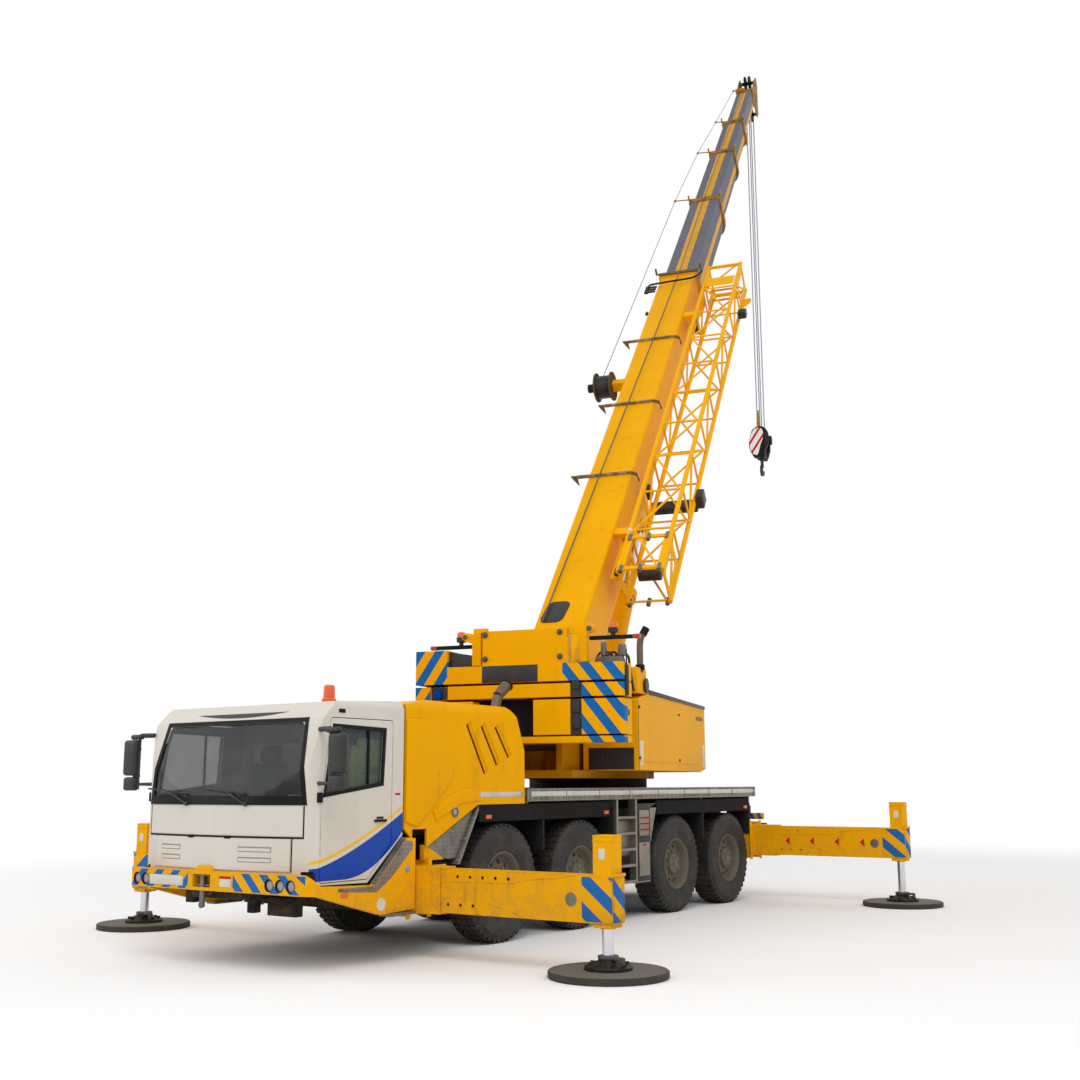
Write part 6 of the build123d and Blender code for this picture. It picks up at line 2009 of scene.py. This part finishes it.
@dataclass
class Boom(Assembly):
    """The five-part boom with its cables, reel and stowed lattice jib."""

    place: ClassVar[Matrix] = STANCE.boom
    body: ClassVar[str] = "boom_base"
    halves: tuple[float, ...] = (0.33, 0.29, 0.25, 0.21)
    tops: tuple[float, ...] = (0.505, 0.46, 0.415, 0.37)
    ends: tuple[float, ...] = (15.96, 19.16, 21.5, 24.25)
    bars: tuple[float, ...] = (4.25, 6.52, 8.91)
    arms: tuple[float, ...] = (-0.71, -0.62, -0.46, -0.3)

    def foot(self) -> None:
        """Builds the boom's foot section with its bars, brackets, hoop, cover and rope."""
        paint = Paint("boom_yellow", SIGNAL_YELLOW, dirt=0.35, wear=0.3, pattern=base_livery)
        self.refine("boom_base", paint, 0.012, 3)
        with self.piece("boom_brackets", Paint("bracket_brown", srgb(112, 92, 58), roughness=0.6, dirt=0.7),
                slot="dull_metal") as worn:
            for s in self.bars:
                worn.prism([(-0.555, 0.595), (-0.66, 0.6), (-0.64, 0.55), (-0.555, 0.4)], Side.FRONT, s - 0.012,
                    s + 0.012, 0.003)
                worn.prism([(0.37, 0.59), (0.455, 0.55), (0.475, 0.4), (0.453, 0.38), (0.45, 0.5), (0.37, 0.552)],
                    Side.FRONT, s - 0.02, s + 0.02, 0.003)
            for side in (-1, 1):
                worn.box((side * 0.47, 11.84, 0.64), (0.035, 0.05, 0.14), 0.006)
            worn.box((0.0, 11.78, 0.6), (0.86, 0.1, 0.02), 0.004)
        self.hose("boom_hoop", Dress.TRIM, [(-0.54, 11.24, 0.56), (-0.53, 11.23, 0.64), (-0.45, 11.22, 0.655),
            (0.0, 11.24, 0.66), (0.34, 11.26, 0.655), (0.42, 11.32, 0.645), (0.5, 11.55, 0.6), (0.52, 11.72, 0.58)],
            0.02)
        with self.piece("boom_dark_fittings", Dress.MOULDED) as dark:
            for i in range(3):
                dark.rod((-0.45, 11.34 + 0.11 * i, 0.44), (-0.68, 11.3 + 0.11 * i, 0.46), 0.022, 12, bevel=0.004)
                dark.rod((-0.6, 11.31 + 0.11 * i, 0.452), (-0.66, 11.3 + 0.11 * i, 0.458), 0.036, 12, bevel=0.004)
            dark.box((-0.46, 10.35, 0.43), (0.05, 0.1, 0.05), 0.008)
            dark.prism(rounded(0.34, 0.46, 0.1, (-0.12, 0.78), 0.12), Side.PLAN, 0.548, 0.562, 0.003)
            dark.prism([(0.452, 0.06), (0.5, 0.06), (0.5, -0.1), (0.452, -0.1)], Side.FRONT, 10.42, 10.58, 0.006)
        with self.piece("boom_rope", Dress.BOOM_ROPE) as rope:
            rope.rod((-0.25, 0.55, 0.585), (-0.15, 4.25, 0.608), 0.011, 8)
            rope.rod((-0.15, 4.25, 0.608), (-0.03, 8.91, 0.608), 0.011, 8)
            rope.rod((-0.03, 8.91, 0.608), (0.04, 11.84, 0.622), 0.011, 8)

    def sections(self) -> None:
        """Builds the four telescoping sections with their collars, ears, rope and cable guides."""
        bodies = ["boom_base"] + [f"boom_section_{i}" for i in range(1, 5)]
        rope_from, cable_from = (0.04, 11.84, 0.622), (-0.765, 7.5, 0.62)
        for i, (half, top, end) in enumerate(zip(self.halves, self.tops, self.ends), 1):
            body = bodies[i]
            paint = Paint(f"boom_grey_{i}", BOOM_GREY, roughness=0.46, dirt=0.5, pattern=boom_bands(half, top, end))
            self.refine(body, paint, body=body, slot="boom_grey")
            with self.piece(f"section_ears_{i}", Dress.COLLAR, body) as ears:
                at = end - 0.03 if i < 4 else end - 0.14
                arm = self.arms[i - 1]
                if i < 4:
                    for side in (-1, 1):
                        ears.box((side * (half + 0.045), end - 0.045, top + 0.075), (0.03, 0.06, 0.13), 0.006)
                        ears.prism([(side * half, top - 0.3), (side * (half + 0.052), top - 0.36),
                            (side * (half + 0.052), top - 0.62), (side * half, top - 0.7)], Side.FRONT, end - 0.15,
                            end - 0.02, 0.006)
                else:
                    ears.box((-0.12, end - 0.14, top + 0.045), (0.24, 0.06, 0.09), 0.008)
                ears.rod((-half * 0.9, at, top + 0.03), (arm, at, top + 0.06), 0.014, 10)
                ears.rod((arm, at - 0.03, top + 0.06), (arm, at + 0.03, top + 0.06), 0.026, 12)
            rope_to = (0.0, end - 0.05 if i < 4 else 24.3, top + (0.062 if i < 4 else 0.03))
            pair = (bodies[i - 1], body)
            self.strand(f"boom_rope_{i}", pair, (rope_from, rope_to), 0.01, Dress.BOOM_ROPE)
            cable_to = (arm, at, top + 0.06)
            self.strand(f"reel_cable_{i}", pair, (cable_from, cable_to), 0.007, Dress.CABLE, 6)
            rope_from, cable_from = rope_to, cable_to

    def reel(self) -> None:
        """Builds the cable reel beside the boom."""
        paint = Paint("reel_black", srgb(40, 40, 42), roughness=0.6, dirt=0.4, pattern=reel_livery)
        self.refine("cable_reel", paint, 0.004, slot="moulded_black")
        with self.piece("reel_coil", Dress.HOSE, smooth=60) as coil:
            profile = [(0.19, -0.125)]
            for i in range(14):
                start = -0.125 + 0.25 * i / 14
                profile += [(0.206, start + 0.002), (0.213, start + 0.009), (0.206, start + 0.0165)]
            profile += [(0.19, 0.125), (0.19, -0.125)]
            coil.lathe(profile, (-0.76, 7.48, 0.43), (1, 0, 0), 40)

    def jib(self) -> None:
        """Builds the lattice jib with its end frames, pins, white band and lamps."""
        self.refine("swingaway_jib", Dress.JIB_YELLOW, 0.004)
        plates, pins, dark, band = (Shaper(self.place) for _ in range(4))
        for s in (1.74, 2.5):
            for v in (0.66, 0.95, 1.24):
                for m in (0.52, -0.13):
                    pins.rod((v, s - 0.07, m), (v, s + 0.07, m), 0.034, 16, bevel=0.004)
        for v in (0.66, 1.24):
            plates.box((v, 2.12, 0.512), (0.085, 0.84, 0.02), 0.004)
        plates.box((0.95, 1.76, 0.512), (0.58, 0.07, 0.03), 0.004)
        plates.box((0.95, 2.52, 0.512), (0.58, 0.07, 0.03), 0.004)
        plates.box((0.95, 11.18, 0.538), (0.58, 0.36, 0.012), 0.003)
        plates.box((0.95, 11.92, 0.52), (0.62, 0.06, 0.05), 0.005)
        plates.box((0.95, 11.92, -0.12), (0.62, 0.06, 0.05), 0.005)
        plates.prism([(1.285, 11.05), (1.44, 11.3), (1.47, 11.42), (1.4, 11.44), (1.285, 11.36)], Side.PLAN, -0.1,
            -0.04, 0.005)
        plates.prism([(0.455, 1.75), (0.64, 1.75), (0.64, 2.62), (0.455, 2.95)], Side.PLAN, 0.3, 0.36, 0.006)
        plates.prism([(0.46, 9.4), (0.6, 9.6), (0.6, 9.95), (0.46, 10.15)], Side.PLAN, 0.26, 0.31, 0.006)
        for s, m in ((11.45, 0.22), (11.45, -0.0)):
            plates.rod((0.66, s, m), (1.24, s, m), 0.022, 12)
        dark.box((0.92, 4.32, -0.225), (0.8, 0.22, 0.13), 0.02)
        dark.box((1.38, 4.32, -0.1), (0.13, 0.24, 0.24), 0.02)
        dark.box((0.56, 4.34, 0.1), (0.08, 0.2, 0.2), 0.02)
        dark.box((1.4, 10.55, 0.06), (0.17, 0.18, 0.15), 0.02)
        dark.rod((1.4, 10.62, 0.06), (1.4, 10.68, 0.06), 0.05, 16)
        dark.box((0.56, 10.05, 0.1), (0.08, 0.2, 0.16), 0.02)
        dark.box((0.56, 1.86, 0.36), (0.09, 0.16, 0.12), 0.02)
        dark.rod((0.78, 2.12, 0.1), (1.12, 2.12, 0.1), 0.1, 20, bevel=0.008)
        band.rod((0.62, 2.68, 0.5), (0.62, 2.74, 0.5), 0.0415, 18)
        band.prism([(0.465, 2.8), (0.62, 2.68), (0.62, 2.72), (0.465, 2.85)], Side.PLAN, 0.358, 0.3625, 0.0)
        plates.done("jib_plates", "boom_base", Dress.JIB_YELLOW, "crane_yellow")
        pins.done("jib_pins", "boom_base", Dress.STEEL, "dull_metal")
        dark.done("jib_lamps", "boom_base", Dress.MOULDED, "moulded_black")
        band.done("jib_band", "boom_base", Dress.PLATE, "cab_white")

    def build(self) -> None:
        """Builds the whole boom."""
        self.foot()
        self.sections()
        self.reel()
        self.jib()


# ---------------------------------------------------------------- hook
def block_livery(g: Graph, base: object) -> object:
    """Gives the hook block's white faces their slanting red stripes.

    Args:
        g: The graph that it is added to.
        base: The plain colour.

    Returns:
        The colour.
    """
    v, _, z = local(g, STANCE.house)
    value = z * 0.56 + v * -0.83
    red = (value / 0.19 + 0.3).fract() > 0.68
    return g.mix(red, base, RED)


@dataclass
class Hook(Assembly):
    """The four falls of rope, the hook block and its hook."""

    place: ClassVar[Matrix] = STANCE.house
    body: ClassVar[str] = "hook_block"
    reach: float = 15.755
    top: float = 20.8907
    back_in: float = 0.035
    lines: Point = (0.06, 0.2113)
    cheek: tuple = ((-0.2, 11.38), (-0.07, 11.46), (0.09, 11.45), (0.17, 11.38), (0.22, 11.3), (0.245, 11.18),
        (0.245, 11.02), (0.2, 10.88), (0.14, 10.78), (0.12, 10.58), (-0.16, 10.58), (-0.22, 10.68), (-0.29, 10.85),
        (-0.3, 11.03), (-0.255, 11.24))
    face: tuple = ((0.0, 11.43), (-0.15, 11.375), (-0.235, 11.24), (-0.285, 11.03), (-0.262, 10.83), (-0.186, 10.68),
        (-0.08, 10.635), (-0.035, 10.71), (0.03, 10.95), (0.09, 11.08), (0.115, 11.24), (0.08, 11.36))

    def build(self) -> None:
        """Builds the falls, the block and the hook."""
        falls = self.frame["nodes"]["hoist_falls"].data
        low = min(v.co.z for v in falls.vertices)
        for i in range(4):
            v, u = self.lines[0] * (-1, 1)[i // 2], self.reach + self.lines[1] * (-1, 1)[i % 2]
            self.strand(f"fall_{i}", ("falls", "hook_block"), ((v, u, self.top), (v, u, low)), 0.0155, Dress.ROPE, 10)
        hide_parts("hoist_falls")
        block = self.refine("hook_block", Dress.TRIM, 0.008, slot="crane_yellow")
        back_in = self.place.to_3x3() @ Vector((0.0, -self.back_in, 0.0))
        inverse = self.place.inverted()
        for vertex in block.data.vertices:
            if (inverse @ vertex.co).y > self.reach + 0.2:
                vertex.co += back_in
        with self.piece("block_cheeks", Dress.TRIM, slot="crane_yellow") as cheek:
            back = [(-0.7 * v, z) for v, z in self.cheek]
            cheek.prism(self.cheek, Side.FRONT, self.reach - 0.294, self.reach - 0.145, 0.02, 3)
            cheek.prism(back, Side.FRONT, self.reach + 0.145, self.reach + 0.262, 0.02, 3)
            cheek.rod((0.1, self.reach, 11.1), (0.285, self.reach, 11.1), 0.13, 24, bevel=0.01)
        paint = Paint("block_stripes", srgb(232, 230, 228), dirt=0.2, pattern=block_livery)
        with self.piece("block_faces", paint) as face:
            face.prism(self.face, Side.FRONT, self.reach - 0.312, self.reach - 0.285, 0.004, 2)
            back = [(-0.65 * v, z) for v, z in self.face]
            face.prism(back, Side.FRONT, self.reach + 0.255, self.reach + 0.276, 0.004, 2)
        with self.piece("rope_clamp", Dress.BRASS) as clamp:
            clamp.rod((-0.01, self.reach - 0.3, 11.44), (-0.01, self.reach - 0.3, 11.52), 0.05, 14, bevel=0.006)
            clamp.rod((-0.01, self.reach - 0.3, 11.52), (-0.01, self.reach - 0.3, 11.8), 0.055, 14, 0.036)
            clamp.rod((-0.01, self.reach - 0.3, 11.8), (-0.01, self.reach - 0.3, 11.9), 0.02, 10)
        self.refine("hook", Dress.HOOK, body="hook")
        with self.piece("hook_nut", Dress.HOOK, "hook") as latch:
            latch.rod((0.0, self.reach, 10.6), (0.0, self.reach, 10.545), 0.07, 20, bevel=0.008)


def build_all(frame: dict) -> None:
    """Builds every assembly in order."""
    for assembly in (Wheels, Outriggers, Cab, Deck, Superstructure, Boom, Hook):
        assembly(frame).build()
        log.info("%s done", assembly.__name__.lower())


# ---------------------------------------------------------------- studio
@dataclass
class Studio:
    """Camera, lamps, world and pale floor."""

    eye: Point = (10.024, -19.856, 1.788)
    yaw: float = math.radians(34.56)
    pitch: float = math.radians(10.09)
    roll: float = math.radians(-0.21)
    lens: float = 41.54
    shift: Point = (-0.0049, 0.0205)
    sky: float = 0.72
    backdrop: float = 1.0

    def camera(self) -> None:
        """Places the camera."""
        forward = Vector((-math.sin(self.yaw) * math.cos(self.pitch), math.cos(self.yaw) * math.cos(self.pitch),
            math.sin(self.pitch)))
        right = Vector((math.cos(self.yaw), math.sin(self.yaw), 0))
        up = right.cross(forward)
        turned = right * math.cos(self.roll) + up * math.sin(self.roll)
        upright = up * math.cos(self.roll) - right * math.sin(self.roll)
        data = bpy.data.cameras.new("camera")
        data.lens = self.lens
        data.sensor_width = 36
        data.shift_x, data.shift_y = self.shift
        data.clip_end = 500
        camera = bpy.data.objects.new("camera", data)
        rows = Matrix((turned, upright, -forward)).transposed().to_4x4()
        camera.matrix_world = Matrix.Translation(self.eye) @ rows
        bpy.context.scene.collection.objects.link(camera)
        bpy.context.scene.camera = camera

    def lamp(self, name: str, place: Point, target: Point, size: float, power: float) -> None:
        """Adds a soft square lamp.

        Args:
            name: The lamp's name.
            place: Where it stands.
            target: What it is aimed at.
            size: The length of its side.
            power: Its power in watts.
        """
        data = bpy.data.lights.new(name, "AREA")
        data.size = size
        data.energy = power
        lamp = bpy.data.objects.new(name, data)
        aim = (Vector(target) - Vector(place)).to_track_quat("-Z", "Y").to_matrix().to_4x4()
        lamp.matrix_world = Matrix.Translation(place) @ aim
        bpy.context.scene.collection.objects.link(lamp)

    def world(self) -> None:
        """Lights the crane evenly, and shows a white backdrop to the camera, in gloss and through glass."""
        world = bpy.data.worlds.new("studio")
        bpy.context.scene.world = world
        g = Graph(world, "OutputWorld")
        soft, plain = (g.node("Background", {0: (1, 1, 1), 1: power}) for power in (self.sky, self.backdrop))
        camera, gloss, through = (g.node("LightPath", None, f"Is {ray} Ray") for ray in (
            "Camera", "Glossy", "Transmission"))
        shown = g.most(g.most(camera, gloss), through)
        g.put(g.output, 0, g.node("MixShader", {0: shown, 1: soft, 2: plain}))

    def floor(self) -> None:
        """Lays a pale floor that keeps the crane's shadow."""
        bm = bmesh.new()
        bmesh.ops.create_circle(bm, cap_ends=True, segments=96, radius=260, matrix=Matrix.Translation((0, 0, -0.0005)))
        mesh = bpy.data.meshes.new("floor")
        bm.to_mesh(mesh)
        bm.free()
        floor = bpy.data.objects.new("floor", mesh)
        g = Graph.of("pale_floor")
        blotch = g.noise(g.place(), 0.2, 2)
        colour = g.mix(blotch * 0.05, srgb(250, 250, 250), srgb(238, 238, 238))
        place = g.node("TexCoord", None, "Object")
        flat = g.node("VectorMath", {0: place, 1: (1, 1, 0)}, operation="MULTIPLY")
        reach = g.node("VectorMath", {0: flat}, "Value", operation="LENGTH")
        fade = 1.0 - g.ramp(reach, 9.0, 19.0)
        mesh.materials.append(g.surface(Base_Color=colour, Roughness=0.95, Specular_IOR_Level=0.0, Alpha=fade))
        bpy.context.scene.collection.objects.link(floor)

    def build(self) -> None:
        """Sets up the whole studio."""
        self.camera()
        self.world()
        self.floor()
        self.lamp("key", (14, -22, 22), (0, -4, 4), 14, 2300)
        self.lamp("fill", (-16, -20, 14), (0, -4, 4), 16, 1000)
        self.lamp("back", (6, 18, 20), (0, 0, 6), 14, 500)
        bpy.context.scene.view_settings.view_transform = "Standard"
        log.info("studio done")


def main() -> None:
    """Builds the crane's looks."""
    logging.basicConfig(level=logging.INFO, format="%(message)s")
    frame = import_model()
    Studio().build()
    build_all(frame)


if __name__ == "__main__":
    main()
